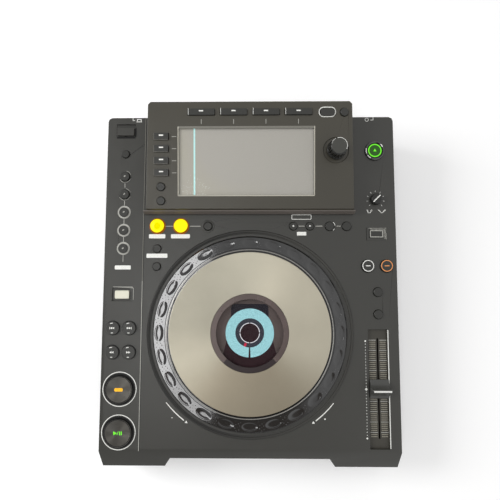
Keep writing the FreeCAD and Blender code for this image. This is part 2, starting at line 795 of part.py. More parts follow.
def jog_ring(frame):
    """Rim of the jog wheel with its finger dimples, the feature that takes the most skill."""
    flange_top = "plate_rise - plate_thick"
    owner = turned("jog_ring_body", [
        ("jog_radius", "-jog_skirt"), ("jog_radius", "jog_rise - rim_bevel"),
        ("jog_radius - rim_bevel", "jog_rise"),
        (RIM_INSIDE, "jog_rise"), (RIM_INSIDE, flange_top),
        ("flange_radius", flange_top), ("flange_radius", flange_top + " - flange_thick"),
        ("jog_radius - ring_wall", flange_top + " - flange_thick"), ("jog_radius - ring_wall", "-jog_skirt")])
    spread = "/ sqrt(1 - pow(dimple_cap_rise / (dimple_depth + dimple_cap_rise); 2)) / 2"
    dimple = owner.newObject("PartDesign::SubtractiveEllipsoid", "dimple")
    dimple.AttachmentSupport = [(origin_plane(owner, "XY_Plane"), "")]
    dimple.MapMode = "FlatFace"
    bind(dimple, Radius1="dimple_depth + dimple_cap_rise", Radius2="dimple_length " + spread,
         Radius3="dimple_width " + spread)
    dimple.setExpression("AttachmentOffset.Base.y", linked("rim_width / 2 - jog_radius"))
    dimple.setExpression("AttachmentOffset.Base.z", linked("jog_rise + dimple_cap_rise"))
    DOC.recompute()
    pattern = owner.newObject("PartDesign::PolarPattern", "dimples")
    pattern.Originals = [dimple]
    pattern.Axis = (origin_plane(owner, "Z_Axis"), [""])
    pattern.Angle = 360
    bind(pattern, Occurrences="dimple_count")
    owner.Tip = pattern
    return node("jog_ring", owner, frame, "0", "jog_y")


def jog_plate(frame):
    """Metal top plate with the hub that turns on the bearing drum."""
    bore = DRUM_RADIUS + " + running_fit"
    below = "plate_rise - plate_thick"
    return node("jog_plate", turned("jog_plate_body", [
        (PLATE_RADIUS, below), (PLATE_RADIUS, "plate_rise - plate_bevel"),
        (PLATE_RADIUS + " - plate_bevel", "plate_rise"),
        ("jog_window_radius + running_fit", "plate_rise"),
        ("jog_window_radius + running_fit", "plate_rise - plate_thick / 2"),
        ("jog_window_radius - jog_window_seat", "plate_rise - plate_thick / 2"),
        ("jog_window_radius - jog_window_seat", below),
        (bore, below), (bore, "-jog_skirt"), (bore + " + hub_wall", "-jog_skirt"),
        (bore + " + hub_wall", below)]), frame, "0", "jog_y")


def jog_window(frame):
    """Tinted window in the middle of the jog wheel."""
    below = "plate_rise - plate_thick / 2"
    return node("jog_window", turned("jog_window_body", [
        ("0", below), ("jog_window_radius", below), ("jog_window_radius", "plate_rise - jog_window_bevel"),
        ("jog_window_radius - jog_window_bevel", "plate_rise"), ("0", "plate_rise")]), frame, "0", "jog_y")


def jog_bearing(frame):
    """Fixed dish under the panel with the drum that carries the wheel, and the jog display."""
    top = "jog_display_rise"
    dish = turned("dish_body", [
        ("0", "-dish_depth - dish_floor"), (DISH_INSIDE + " + dish_wall", "-dish_depth - dish_floor"),
        (DISH_INSIDE + " + dish_wall", "-panel_thick"), (DISH_INSIDE, "-panel_thick"),
        (DISH_INSIDE, "-dish_depth"), (DRUM_RADIUS, "-dish_depth"), (DRUM_RADIUS, top),
        (DRUM_RADIUS + " - drum_wall", top), (DRUM_RADIUS + " - drum_wall", top + " - jog_display_thick"),
        ("0", top + " - jog_display_thick")])
    display = rod("jog_display", "0", "0", top + " - jog_display_thick", "jog_display_radius",
                  "jog_display_thick")
    return node("jog_bearing", group("jog_bearing_group", dish, display), frame, "0", "jog_y")


def selector(frame):
    """Plunger that slides in the housing and the fluted knob that turns on it."""
    bore = "plunger_radius + running_fit"
    shaft_top = "selector_height - knob_roof"
    foot_top = "-housing_wall - clearance"
    skirt_top = "selector_gap + skirt_height"
    fluted_from = skirt_top + " + skirt_slope"
    node("selector_plunger", turned("plunger_body", [
        ("0", foot_top + " - plunger_foot_thick"),
        ("plunger_radius + plunger_foot_step", foot_top + " - plunger_foot_thick"),
        ("plunger_radius + plunger_foot_step", foot_top),
        ("plunger_radius", foot_top), ("plunger_radius", shaft_top),
        ("0", shaft_top)]), frame, "selector_x", "selector_place")
    owner = turned("knob_body", [
        (bore, "selector_gap"), ("selector_skirt_radius", "selector_gap"),
        ("selector_skirt_radius", skirt_top), ("selector_top_radius + skirt_step", fluted_from),
        ("selector_top_radius", "selector_height - knob_bevel"),
        ("selector_top_radius - knob_bevel", "selector_height"),
        ("0", "selector_height"), ("0", shaft_top), (bore, shaft_top)])
    notch = owner.newObject("Sketcher::SketchObject", "flute_notch")
    notch.AttachmentSupport = [(origin_plane(owner, "XY_Plane"), "")]
    notch.MapMode = "FlatFace"
    outside = "selector_top_radius + 2 * skirt_step"
    draw(notch, [("0", "selector_top_radius - flute_depth"), ("flute_width", outside),
                 ("-flute_width", outside)])
    notch.setExpression("AttachmentOffset.Base.z", linked(fluted_from))
    flute = owner.newObject("PartDesign::Pocket", "flute")
    flute.Profile = notch
    flute.Reversed = True
    bind(flute, Length="selector_height")
    DOC.recompute()
    flutes = owner.newObject("PartDesign::PolarPattern", "flutes")
    flutes.Originals = [flute]
    flutes.Axis = (origin_plane(owner, "Z_Axis"), [""])
    flutes.Angle = 360
    bind(flutes, Occurrences="flute_count")
    owner.Tip = flutes
    return node("selector_knob", owner, frame, "selector_x", "selector_place")


def speed_knob(frame):
    """Low knob with its shaft through the panel."""
    foot_top = "-panel_thick - clearance"
    foot_radius = "speed_shaft_radius + speed_foot_step"
    return node("speed_knob", turned("speed_body", [
        ("0", foot_top + " - speed_foot_thick"), (foot_radius, foot_top + " - speed_foot_thick"),
        (foot_radius, foot_top), ("speed_shaft_radius", foot_top), ("speed_shaft_radius", "clearance"),
        ("speed_radius", "clearance"), ("speed_radius - speed_draft", "speed_height - speed_bevel"),
        ("speed_radius - speed_draft - speed_bevel", "speed_height"), ("0", "speed_height")]), frame,
        RIGHT_COLUMN, "speed_y")


def fader_body(frame):
    """Sunk scale plate with its slot and the fader box under it."""
    plate_top = "-panel_thick"
    plate = block("fader_plate", "0", "0", plate_top + " - fader_plate_thick",
                  "fader_well_width + 2 * fader_flange", "fader_well_length + 2 * fader_flange",
                  "fader_plate_thick")
    box = block("fader_box", "0", "0", plate_top + " - fader_plate_thick - fader_box_depth",
                "fader_box_width", "fader_box_length", "fader_box_depth")
    slot = block("fader_slot", "0", "0", plate_top + " - 2 * fader_plate_thick", "fader_slot_width",
                 "fader_slot_length", "3 * fader_plate_thick")
    channel = block("fader_channel", "0", "0",
                    plate_top + " - fader_plate_thick - fader_box_depth + wall",
                    "fader_channel_width", "fader_slot_length + 2 * wall", "fader_box_depth - wall")
    solid = join("fader_solid", plate, box)
    return node("fader_body", cut("fader_finished", solid, slot, channel), frame, FADER_X, "fader_y")


def tempo_fader_cap(frame):
    """Saddle-shaped cap with its ridge, blade and slider."""
    base = "-panel_thick + clearance"
    height = "cap_height + panel_thick - clearance"
    lump = block("cap_block", "0", "0", base, "cap_width", "cap_length", height)
    dishes = []
    for index, sign in enumerate(("", "-")):
        dishes.append(lying_rod("cap_dish_%d" % index, "-cap_width",
                                sign + "(cap_ridge_width / 2 + cap_dish_radius)",
                                "cap_height - cap_dish_drop", "cap_dish_radius", "2 * cap_width", X_AXIS))
    saddle = cut("cap_saddle", lump, *dishes)
    slider_top = "-panel_thick - fader_plate_thick - clearance"
    blade = block("cap_blade", "0", "0", slider_top + " - cap_overlap", "cap_blade_thick",
                  "cap_blade_length", "fader_plate_thick + 2 * cap_overlap + 2 * clearance")
    slider = block("cap_slider", "0", "0", slider_top + " - cap_slider_height", "cap_slider_thick",
                   "cap_blade_length", "cap_slider_height")
    return node("tempo_fader_cap", join("cap_solid", saddle, blade, slider), frame, FADER_X, "fader_y")


def usb_cover(frame):
    """Hinged cover with a barrel at its rear edge and a finger notch at the front."""
    plate = block("cover_plate", "0", "-(cover_length + cover_pin_radius) / 2", "-cover_thick",
                  "cover_width", "cover_length - cover_pin_radius", "cover_thick")
    barrel = lying_rod("cover_barrel", "-cover_width / 2", "-cover_pin_radius", "-cover_pin_radius",
                       "cover_pin_radius", "cover_width", X_AXIS)
    web = block("cover_web", "0", "-2 * cover_pin_radius", "-cover_pin_radius", "cover_width",
                "2 * cover_pin_radius", "cover_pin_radius")
    notch = rod("cover_notch", "0", "-cover_length", "-2 * cover_thick", "cover_notch_radius / 2",
                "4 * cover_thick")
    cover = cut("cover_finished", join("cover_solid", plate, barrel, web), notch)
    return node("usb_cover", cover, frame, LEFT_COLUMN, "cover_rear_y")


def disc_drive(frame):
    """Slot-in drive: closed shell with a flat space for a disc, open at the front."""
    front = "(-front_wall_setback + wall)"
    shell = block("drive_shell", "0", front + " + drive_length / 2", DRIVE_BASE, "drive_width",
                  "drive_length", "drive_height")
    cavity = block("drive_cavity", "0", front, "disc_slot_middle - drive_cavity_height / 2",
                   "disc_slot_width", "2 * drive_cavity_length", "drive_cavity_height")
    return node("disc_drive", cut("drive_finished", shell, cavity), frame)


def feet(frame):
    """Four rubber feet."""
    places = post_places("(case_width / 2 - foot_side_inset)", "foot_front_y", "foot_rear_y")
    discs = []
    for index, (across, along) in enumerate(places):
        foot = bind(DOC.addObject("Part::Cone", "foot_%d" % index), Radius1="foot_radius - 1",
                    Radius2="foot_radius", Height="foot_height")
        discs.append(place(foot, across, along, "0"))
    return node("rubber_feet", group("feet_group", *discs), frame)


def screws(frame):
    """Pan-head screws that come up through the floor."""
    pieces = []
    for index, (across, along) in enumerate(screw_places()):
        depth = level_y(along, "-panel_thick")
        head = rod("screw_head_%d" % index, across, depth, "foot_height + clearance",
                   "screw_head_radius", "screw_head_thick")
        shank = rod("screw_shank_%d" % index, across, depth, "foot_height + clearance",
                    "screw_radius", "screw_length - clearance")
        pieces.append(join("screw_%d" % index, head, shank))
    return node("case_screws", group("screw_group", *pieces), frame)


def main_board(level):
    """Board with the rear sockets, all separate solids."""
    board = block("board", "0", "%s - board_gap - board_length / 2" % REAR_INSIDE, "board_height",
                  "board_width", "board_length", "board_thick")
    pieces = [board]
    for name, across, width, height, depth in rear_sockets():
        length = "(%s + wall + socket_shell)" % depth
        outside = block(name + "_shell", across, "%s - %s / 2" % (CASE_REAR, length), BOARD_TOP,
                        width + " + 2 * socket_shell", length, height + " + 2 * socket_shell")
        inside = block(name + "_space", across, "%s - %s / 2 + 1" % (CASE_REAR, depth),
                       BOARD_TOP + " + socket_shell", width, depth + " + 2", height)
        socket = cut(name + "_socket", outside, inside)
        if name == "inlet":
            pins = [lying_rod("inlet_pin_%d" % index, "inlet_x %s inlet_pin_pitch / 2" % sign,
                              "%s - inlet_depth - 1" % CASE_REAR,
                              BOARD_TOP + " + socket_shell + inlet_height / 2", "inlet_pin_radius",
                              "inlet_depth - 2", FreeCAD.Vector(0, 1, 0))
                    for index, sign in enumerate("+-")]
            socket = join("inlet_with_pins", socket, *pins)
        pieces.append(socket)
    for index, across in enumerate(jack_places()):
        lump = block("jack_block_%d" % index, across, "%s - jack_block / 2" % REAR_INSIDE, BOARD_TOP,
                     "jack_block", "jack_block", "jack_block")
        barrel = lying_rod("jack_barrel_%d" % index, across, "%s - 1" % REAR_INSIDE, jack_height(),
                           "jack_radius", "jack_reach + wall + 1", FreeCAD.Vector(0, 1, 0))
        bore = lying_rod("jack_bore_%d" % index, across, "%s - 6" % REAR_INSIDE, jack_height(),
                         "jack_bore", "jack_reach + wall + 12", FreeCAD.Vector(0, 1, 0))
        pieces.append(cut("jack_%d" % index, join("jack_solid_%d" % index, lump, barrel), bore))
    return node("main_board", group("board_group", *pieces), level)


def stick_socket(frame):
    """Upright socket for a memory stick, whose mouth stands in the recess under the cover."""
    depth = "-panel_thick - port_depth"
    rim = "(panel_thick - cover_thick - 2 * clearance)"
    outside = block("port_shell_block", "0", "0", depth + " - port_shell", "port_width + 2 * port_shell",
                    "port_height + 2 * port_shell", "port_depth + port_shell + " + rim)
    inside = block("port_space", "0", "0", depth, "port_width", "port_height", "2 * port_depth")
    return node("stick_socket", cut("stick_socket_finished", outside, inside), frame, LEFT_COLUMN,
                "cover_rear_y - port_offset")


def power_button(frame):
    """Latching button in the rear wall."""
    depth = "(power_rise + wall + clearance)"
    stem = block("power_stem", "0", depth + " / 2", "0", "power_width", depth, "power_tall")
    lip = block("power_lip", "0", "-button_lip / 2", "-button_lip", "power_width + 2 * button_lip",
                "button_lip", "power_tall + 2 * button_lip")
    button = join("power_solid", stem, lip)
    offset = FreeCAD.Vector(value(POWER_X), value(REAR_INSIDE + " - clearance"), value("power_height"))
    return node("power_button", button, frame.multiply(FreeCAD.Placement(offset, FreeCAD.Rotation())))


def check_and_write():
    """Stop on a failed object, then write each piece to its own file."""
    for item in DOC.Objects:
        if "Invalid" in item.State or "Error" in item.State:
            raise RuntimeError("failed object: %s %s" % (item.Label, item.State))
    for item in NODES:
        if item.Shape.isNull() or not item.Shape.isValid():
            raise RuntimeError("bad shape: " + item.Label)
    os.makedirs("parts", exist_ok=True)
    for item in NODES:
        item.Shape.exportStep(os.path.join("parts", item.Label + ".step"))
    print(len(NODES), "pieces written")


def build():
    """Make every piece in its frame."""
    fill_sheet()
    level, panel, tilt = frames()
    housing = panel.multiply(tilt)
    lower_case(level)
    control_panel(panel)
    display_housing(panel, tilt)
    window = block("window_pane", "window_x", "window_centre", "-window_sink - window_thick",
                   "window_length - 2 * clearance", "window_depth - 2 * clearance", "window_thick")
    node("display_window", group("window_group", window), housing)
    module = block("lcd_block", "window_x", "window_centre", "-window_sink - window_thick - lcd_thick",
                   "window_length - 2 * window_ledge - 2 * clearance",
                   "window_depth - 2 * window_ledge - 2 * clearance", "lcd_thick")
    node("lcd_module", group("lcd_group", module), housing)
    jog_bearing(panel)
    jog_ring(panel)
    jog_plate(panel)
    jog_window(panel)
    for label, across, along, radius, rise in PANEL_BUTTONS:
        round_button(label, across, along, radius, rise, "panel_thick", panel)
    for label, across, along, radius, rise in HOUSING_BUTTONS:
        round_button(label, across, along, radius, rise, "housing_wall", housing)
    for label, across, along, length, width in HOUSING_KEYS:
        key(label, across, along, length, width, "key_rise", "housing_wall", housing)
    for label, across, along in (("reverse_button", LEFT_COLUMN, "reverse_y"),
                                 ("jog_mode_button", RIGHT_COLUMN, "jog_mode_y")):
        key(label, across, along, "recess_key_length", "recess_key_width", "recess_key_rise",
            "panel_thick", panel)
    selector(housing)
    speed_knob(panel)
    fader_body(panel)
    tempo_fader_cap(panel)
    usb_cover(panel)
    disc_drive(level)
    main_board(level)
    stick_socket(panel)
    power_button(level)
    feet(level)
    screws(level)
    DOC.recompute()
    check_and_write()


build()
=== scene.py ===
"""Looks of a tabletop player for discs: moulded case, big jog wheel, tempo fader and lit buttons."""

from __future__ import annotations

import json
import logging
import math
from dataclasses import dataclass
from enum import Enum

import bpy
from mathutils import Matrix, Vector

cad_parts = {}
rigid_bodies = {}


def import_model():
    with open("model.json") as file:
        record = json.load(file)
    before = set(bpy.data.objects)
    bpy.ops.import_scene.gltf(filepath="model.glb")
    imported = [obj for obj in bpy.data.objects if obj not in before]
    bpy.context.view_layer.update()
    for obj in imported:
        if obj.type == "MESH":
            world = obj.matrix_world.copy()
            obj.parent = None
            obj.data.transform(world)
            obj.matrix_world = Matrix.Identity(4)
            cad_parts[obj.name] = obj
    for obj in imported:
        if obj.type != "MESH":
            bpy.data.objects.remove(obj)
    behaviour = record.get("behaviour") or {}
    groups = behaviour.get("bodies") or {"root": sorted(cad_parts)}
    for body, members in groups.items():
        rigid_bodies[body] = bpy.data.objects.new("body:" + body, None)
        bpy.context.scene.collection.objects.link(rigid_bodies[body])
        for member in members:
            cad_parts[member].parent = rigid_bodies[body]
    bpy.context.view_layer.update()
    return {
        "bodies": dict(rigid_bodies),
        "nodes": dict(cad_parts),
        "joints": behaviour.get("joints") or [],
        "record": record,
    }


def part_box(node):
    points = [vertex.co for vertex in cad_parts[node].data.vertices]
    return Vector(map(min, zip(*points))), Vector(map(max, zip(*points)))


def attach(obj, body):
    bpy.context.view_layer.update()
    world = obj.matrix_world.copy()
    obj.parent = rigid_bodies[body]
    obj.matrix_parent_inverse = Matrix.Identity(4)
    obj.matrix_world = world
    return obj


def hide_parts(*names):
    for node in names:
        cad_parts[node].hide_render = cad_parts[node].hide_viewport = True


LOG = logging.getLogger("player")
MM = 0.001
CASE = "player_case"
WHEEL = "jog_wheel"
START_BUTTONS = ("cue_button", "play_button")
LOOP_BUTTONS = ("loop_in_button", "loop_out_button")
# Middles of the jog wheel and the selector on their own faces, in millimetres
JOG_SPOT = (0.0, 119.0)
SELECTOR_SPOT = (88.6, 60.0)
# Height of a printed mark above its face, in millimetres
LIFT = 0.05

Point = tuple[float, float]
Stop = tuple[float, tuple]
Material = bpy.types.Material
Piece = bpy.types.Object
Socket = bpy.types.NodeSocket
Tree = bpy.types.NodeTree


class Mark(Enum):
    """Pictograms of the buttons."""

    BACK = "back"
    FORWARD = "forward"
    TRACK_BACK = "track_back"
    TRACK_NEXT = "track_next"
    PLAY_PAUSE = "play_pause"


SKIP_BUTTONS = {"track_back_button": Mark.TRACK_BACK, "track_next_button": Mark.TRACK_NEXT,
                "search_back_button": Mark.BACK, "search_forward_button": Mark.FORWARD}


@dataclass(frozen=True)
class Surface:
    """A flat face of the player with its own millimetre grid.

    Attributes:
        matrix: From millimetres across, along and above the face to metres in the row frame.
    """

    matrix: Matrix

    @classmethod
    def from_joint(cls, joint: dict, across: float, along: float) -> "Surface":
        """Face square to a joint's axis, whose place on the face is known.

        Args:
            joint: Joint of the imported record, with pos_m and axis.
            across: Place of the joint across the face, in millimetres.
            along: Place of the joint along the face, in millimetres.

        Returns:
            The face.
        """
        axis = Vector(joint["axis"])
        turn = Matrix.Rotation(math.atan2(-axis.y, axis.z), 4, "X")
        start = Vector(joint["pos_m"]) - turn @ Vector((across * MM, along * MM, 0.0))
        return cls(Matrix.Translation(start) @ turn @ Matrix.Scale(MM, 4))

    def spot(self, node: str) -> Vector:
        """Middle of a CAD node on the face, in millimetres."""
        low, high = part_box(node)
        return self.matrix.inverted() @ ((low + high) / 2)

    def point(self, across: float, along: float, above: float = 0.0) -> Vector:
        """Place on the face in the row frame, in metres."""
        return self.matrix @ Vector((across, along, above))


def joint_named(frame: dict, name: str) -> dict:
    """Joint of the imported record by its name."""
    return next(joint for joint in frame["joints"] if joint["name"] == name)


def activate(piece: Piece) -> None:
    """Make a piece the only selected and active one."""
    bpy.ops.object.select_all(action="DESELECT")
    piece.hide_set(False)
    piece.select_set(True)
    bpy.context.view_layer.objects.active = piece


def register(piece: Piece, material: Material, body: str) -> None:
    """Give a finished piece its material and body, and report it.

    Args:
        piece: The finished piece, in place.
        material: Its material.
        body: CAD body that it rides on.
    """
    piece.data.materials.clear()
    piece.data.materials.append(material)
    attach(piece, body)
    LOG.info("%s rides on %s", piece.name, body)


def seat(piece: Piece, surface: Surface) -> None:
    """Put a piece that was drawn in millimetres into its place on a face, in its mesh."""
    activate(piece)
    bpy.ops.object.transform_apply(location=True, rotation=True, scale=True)
    piece.data.transform(surface.matrix)
    piece.data.update()


def new_piece(name: str, data: bpy.types.ID) -> Piece:
    """Object with some data, in the scene and active."""
    piece = bpy.data.objects.new(name, data)
    bpy.context.scene.collection.objects.link(piece)
    activate(piece)
    return piece


def drawn(name: str, verts: list, edges: list, faces: list) -> Piece:
    """New piece from its vertices, edges and faces."""
    mesh = bpy.data.meshes.new(name)
    mesh.from_pydata(verts, edges, faces)
    return new_piece(name, mesh)


def numbered(name: str, count: int) -> tuple[str, ...]:
    """Names of a row of like pieces, counted from 1."""
    return tuple("%s_%d" % (name, index + 1) for index in range(count))


def polar(x: float, y: float, reach: float, turn: float) -> Point:
    """Place at a distance and an angle from another one, with the angle in radians."""
    return x + reach * math.cos(turn), y + reach * math.sin(turn)


def vector_step(tree: Tree, operation: str, source: Socket,
                second: tuple | Vector | None = None) -> bpy.types.Node:
    """Vector maths node fed by a socket, with a constant as its second input where one is given."""
    node = tree.nodes.new("ShaderNodeVectorMath")
    node.operation = operation
    tree.links.new(source, node.inputs[0])
    if second is not None:
        node.inputs[1].default_value = second
    return node


def remap(tree: Tree, source: Socket, start: Point, end: Point,
          smooth: bool = False) -> Socket:
    """Value moved from one range to another.

    Args:
        tree: Tree that holds the nodes.
        source: Value to move.
        start: Its range.
        end: Range that it is moved to.
        smooth: Whether it eases in and out.

    Returns:
        The moved value.
    """
    node = tree.nodes.new("ShaderNodeMapRange")
    node.interpolation_type = "SMOOTHSTEP" if smooth else "LINEAR"
    for name, value in zip(("From Min", "From Max", "To Min", "To Max"), start + end):
        node.inputs[name].default_value = value
    tree.links.new(source, node.inputs["Value"])
    return node.outputs["Result"]


def mixer(tree: Tree, factor: Socket, mode: str) -> bpy.types.Node:
    """Colour mix node with its factor linked."""
    node = tree.nodes.new("ShaderNodeMix")
    node.data_type = "RGBA"
    node.blend_type = mode
    tree.links.new(factor, node.inputs["Factor"])
    return node


def shade(colour: tuple, factor: float = 1.0) -> tuple:
    """Colour times a factor, with full alpha."""
    return tuple(channel * factor for channel in colour[:3]) + (1.0,)


class Shader:
    """Small wrapper that wires the nodes of one material."""

    def __init__(self, name: str) -> None:
        """Start an empty material with an output and a principled shader."""
        self.material = bpy.data.materials.new(name)
        self.material.use_nodes = True
        self.tree = self.material.node_tree
        self.tree.nodes.clear()
        output = self.tree.nodes.new("ShaderNodeOutputMaterial")
        self.base = self.tree.nodes.new("ShaderNodeBsdfPrincipled")
        self.tree.links.new(self.base.outputs["BSDF"], output.inputs["Surface"])
        self.place = self.tree.nodes.new("ShaderNodeTexCoord").outputs["Object"]

    def feed(self, source: Socket, into: str) -> None:
        """Link a value to a socket of the principled shader."""
        self.tree.links.new(source, self.base.inputs[into])

    def set(self, **values: float | tuple) -> None:
        """Set sockets of the principled shader by their names, with _ for a space."""
        for key, value in values.items():
            self.base.inputs[key.replace("_", " ")].default_value = value

    def noise(self, scale: float, detail: float = 3.0, stretch: tuple | None = None) -> Socket:
        """Noise on the object's own coordinates.

        Args:
            scale: Noise scale per metre.
            detail: Octaves.
            stretch: Scale along x, y and z before the noise, where it isn't even.

        Returns:
            Its value.
        """
        node = self.tree.nodes.new("ShaderNodeTexNoise")
        node.inputs["Scale"].default_value = scale
        node.inputs["Detail"].default_value = detail
        source = self.place
        if stretch is not None:
            mapping = self.tree.nodes.new("ShaderNodeMapping")
            mapping.inputs["Scale"].default_value = stretch
            self.tree.links.new(source, mapping.inputs["Vector"])
            source = mapping.outputs["Vector"]
        self.tree.links.new(source, node.inputs["Vector"])
        return node.outputs["Fac"]

    def blend(self, source: Socket, low: Stop, high: Stop) -> Socket:
        """Colour between two stops of a ramp.

        Args:
            source: Value that moves along the ramp.
            low: Place and colour of the first stop.
            high: Place and colour of the second stop.

        Returns:
            The colour.
        """
        node = self.tree.nodes.new("ShaderNodeValToRGB")
        elements = node.color_ramp.elements
        elements[0].position, elements[0].color = low
        elements[1].position, elements[1].color = high
        self.tree.links.new(source, node.inputs["Fac"])
        return node.outputs["Color"]

    def mottled(self, source: Socket, colour: tuple, low: Point, high: Point) -> Socket:
        """Colour that varies between two factors of itself, each given with its place on the ramp."""
        return self.blend(source, (low[0], shade(colour, low[1])), (high[0], shade(colour, high[1])))

    def wear(self, source: Socket, low: float, high: float) -> None:
        """Roughness that varies between two values."""
        self.feed(remap(self.tree, source, (0.0, 1.0), (low, high)), "Roughness")

    def bump(self, source: Socket, depth: float, strength: float) -> None:
        """Bump from a value, as deep as depth in metres."""
        node = self.tree.nodes.new("ShaderNodeBump")
        node.inputs["Distance"].default_value = depth
        node.inputs["Strength"].default_value = strength
        self.tree.links.new(source, node.inputs["Height"])
        self.feed(node.outputs["Normal"], "Normal")


@dataclass(frozen=True)
class Moulding:
    """Satin moulded plastic with a fine grain, a slow mottle and a little dust."""

    name: str
    colour: tuple
    roughness: float = 0.42
    grain: float = 2600.0
    depth: float = 0.00003
    mottle: float = 0.08
    shine: float = 1.48
    dust: float = 0.07

    def build(self) -> Material:
        """Make the material."""
        shader = Shader(self.name)
        shader.set(Roughness=self.roughness, IOR=self.shine)
        tint = shader.mottled(shader.noise(scale=9.0, detail=4.0), self.colour,
                              (0.3, 1 - self.mottle), (0.7, 1 + self.mottle))
        shader.feed(tint, "Base Color")
        dust = shader.noise(scale=70.0, detail=5.0)
        shader.wear(dust, self.roughness - self.dust, self.roughness + self.dust)
        shader.bump(shader.noise(self.grain, detail=2.0), self.depth, strength=0.5)
        return shader.material


@dataclass(frozen=True)
class PaintedShadeBand:
    """Sloping dark band with painted shade: its colour ramps from dark on the left to lighter on the right."""

    name: str
    dark: tuple
    light: tuple
    reach: float = 0.1

    def build(self) -> Material:
        """Make the material."""
        shader = Shader(self.name)
        shader.set(Roughness=0.42, IOR=1.48)
        parts = shader.tree.nodes.new("ShaderNodeSeparateXYZ")
        shader.tree.links.new(shader.place, parts.inputs["Vector"])
        # Painted shade: the colour ramps across x from the dark tone on the left to the light one on the right.
        across = remap(shader.tree, parts.outputs["X"], (-self.reach, self.reach), (0.0, 1.0))
        shader.feed(shader.blend(across, (0.3, shade(self.dark)), (0.85, shade(self.light))), "Base Color")
        return shader.material


@dataclass(frozen=True)
class Gloss:
    """Polished plastic with faint smears."""

    name: str
    colour: tuple
    roughness: float = 0.08
    coat: float = 0.5

    def build(self) -> Material:
        """Make the material."""
        shader = Shader(self.name)
        shader.set(IOR=1.52, Coat_Weight=self.coat, Coat_Roughness=0.04)
        smear = shader.noise(scale=40.0, detail=4.0)
        shader.feed(shader.mottled(smear, self.colour, (0.3, 0.85), (0.75, 1.15)), "Base Color")
        shader.wear(smear, self.roughness * 0.6, self.roughness * 1.6)
        return shader.material


@dataclass(frozen=True)
class SpunMetal:
    """Metal turned about an axis, whose fine grooves fan out the light, with painted shade in its colour.

    Attributes:
        name: Name of the material.
        colour: Its colour.
        centre: Middle of the turned face, in the row frame.
        axis: Axis that it was turned about.
        roughness: Mean roughness.
        fan: Anisotropy of the grooves.
        grooves: Grooves per metre.
        depth: Depth of a groove, in metres.
        dim: Factor on the colour toward the front: painted shade in place of a dark room's reflection.
        painted_rear_shade: Factor on the colour toward the rear left, under the lamps: painted shade that
            darkens it there.
    """

    name: str
    colour: tuple
    centre: Vector
    axis: Vector
    roughness: float = 0.3
    fan: float = 0.75
    grooves: float = 900.0
    depth: float = 0.00001
    dim: tuple = (1.0, 1.0, 1.0)
    painted_rear_shade: tuple = (0.82, 0.83, 0.84)

    def build(self) -> Material:
        """Make the material."""
        shader = Shader(self.name)
        shader.set(Metallic=0.85, Anisotropic=self.fan)
        offset = vector_step(shader.tree, "SUBTRACT", shader.place, self.centre).outputs["Vector"]
        tangent = vector_step(shader.tree, "CROSS_PRODUCT", offset, self.axis)
        shader.feed(tangent.outputs["Vector"], "Tangent")
        rings = shader.tree.nodes.new("ShaderNodeTexNoise")
        rings.noise_dimensions = "1D"
        rings.inputs["Scale"].default_value = self.grooves
        rings.inputs["Detail"].default_value = 4.0
        shader.tree.links.new(vector_step(shader.tree, "LENGTH", offset).outputs["Value"], rings.inputs["W"])
        shader.bump(rings.outputs["Fac"], self.depth, strength=0.4)
        tint = shader.mottled(shader.noise(scale=14.0, detail=5.0), self.colour, (0.3, 0.92), (0.7, 1.07))
        aim = vector_step(shader.tree, "NORMALIZE", offset).outputs["Vector"]
        # Painted shade: the colour is scaled in a fan toward the front and in one toward the rear left.
        for toward, factor in (((0.04, -1.0, 0.0), self.dim), ((-0.66, 0.75, 0.0), self.painted_rear_shade)):
            tint = self.painted_fan_shade(shader, aim, tint, toward, factor)
        shader.feed(tint, "Base Color")
        shader.wear(shader.noise(scale=160.0), self.roughness * 0.9, self.roughness * 1.12)
        return shader.material

    def painted_fan_shade(self, shader: Shader, aim: Socket, tint: Socket,
               toward: tuple, factor: tuple) -> Socket:
        """Painted shade: the colour times a factor, eased in over a fan to one side.

        Args:
            shader: Tree being built.
            aim: Direction from the middle of the face.
            tint: Colour to start from.
            toward: Direction of the fan's middle.
            factor: Factor on the colour there.

        Returns:
            The fanned colour.
        """
        near = vector_step(shader.tree, "DOT_PRODUCT", aim, toward).outputs["Value"]
        mix = mixer(shader.tree, remap(shader.tree, near, (0.28, 0.97), (0.0, 1.0), smooth=True), "MULTIPLY")
        mix.inputs["B"].default_value = shade(factor)
        shader.tree.links.new(tint, mix.inputs["A"])
        return mix.outputs["Result"]


@dataclass(frozen=True)
class Metal:
    """Plain plated or turned metal with light scratches."""

    name: str
    colour: tuple
    roughness: float = 0.25

    def build(self) -> Material:
        """Make the material."""
        shader = Shader(self.name)
        shader.set(Metallic=1.0, Base_Color=shade(self.colour))
        scratches = shader.noise(scale=300.0, detail=4.0, stretch=(1.0, 14.0, 1.0))
        shader.wear(scratches, self.roughness * 0.6, self.roughness * 1.6)
        shader.bump(scratches, depth=0.000006, strength=0.3)
        return shader.material


@dataclass(frozen=True)
class Pane:
    """Clear or tinted pane with a polished face."""

    name: str
    colour: tuple
    alpha: float
    coat: float = 0.6
    gleam: float = 0.5
    roughness: float = 0.04

    def build(self) -> Material:
        """Make the material."""
        shader = Shader(self.name)
        shader.set(IOR=1.5, Alpha=self.alpha, Coat_Weight=self.coat, Coat_Roughness=0.03,
                   Specular_IOR_Level=self.gleam, Base_Color=shade(self.colour))
        shader.wear(shader.noise(scale=120.0, detail=6.0), self.roughness * 0.5, self.roughness * 2.0)
        return shader.material


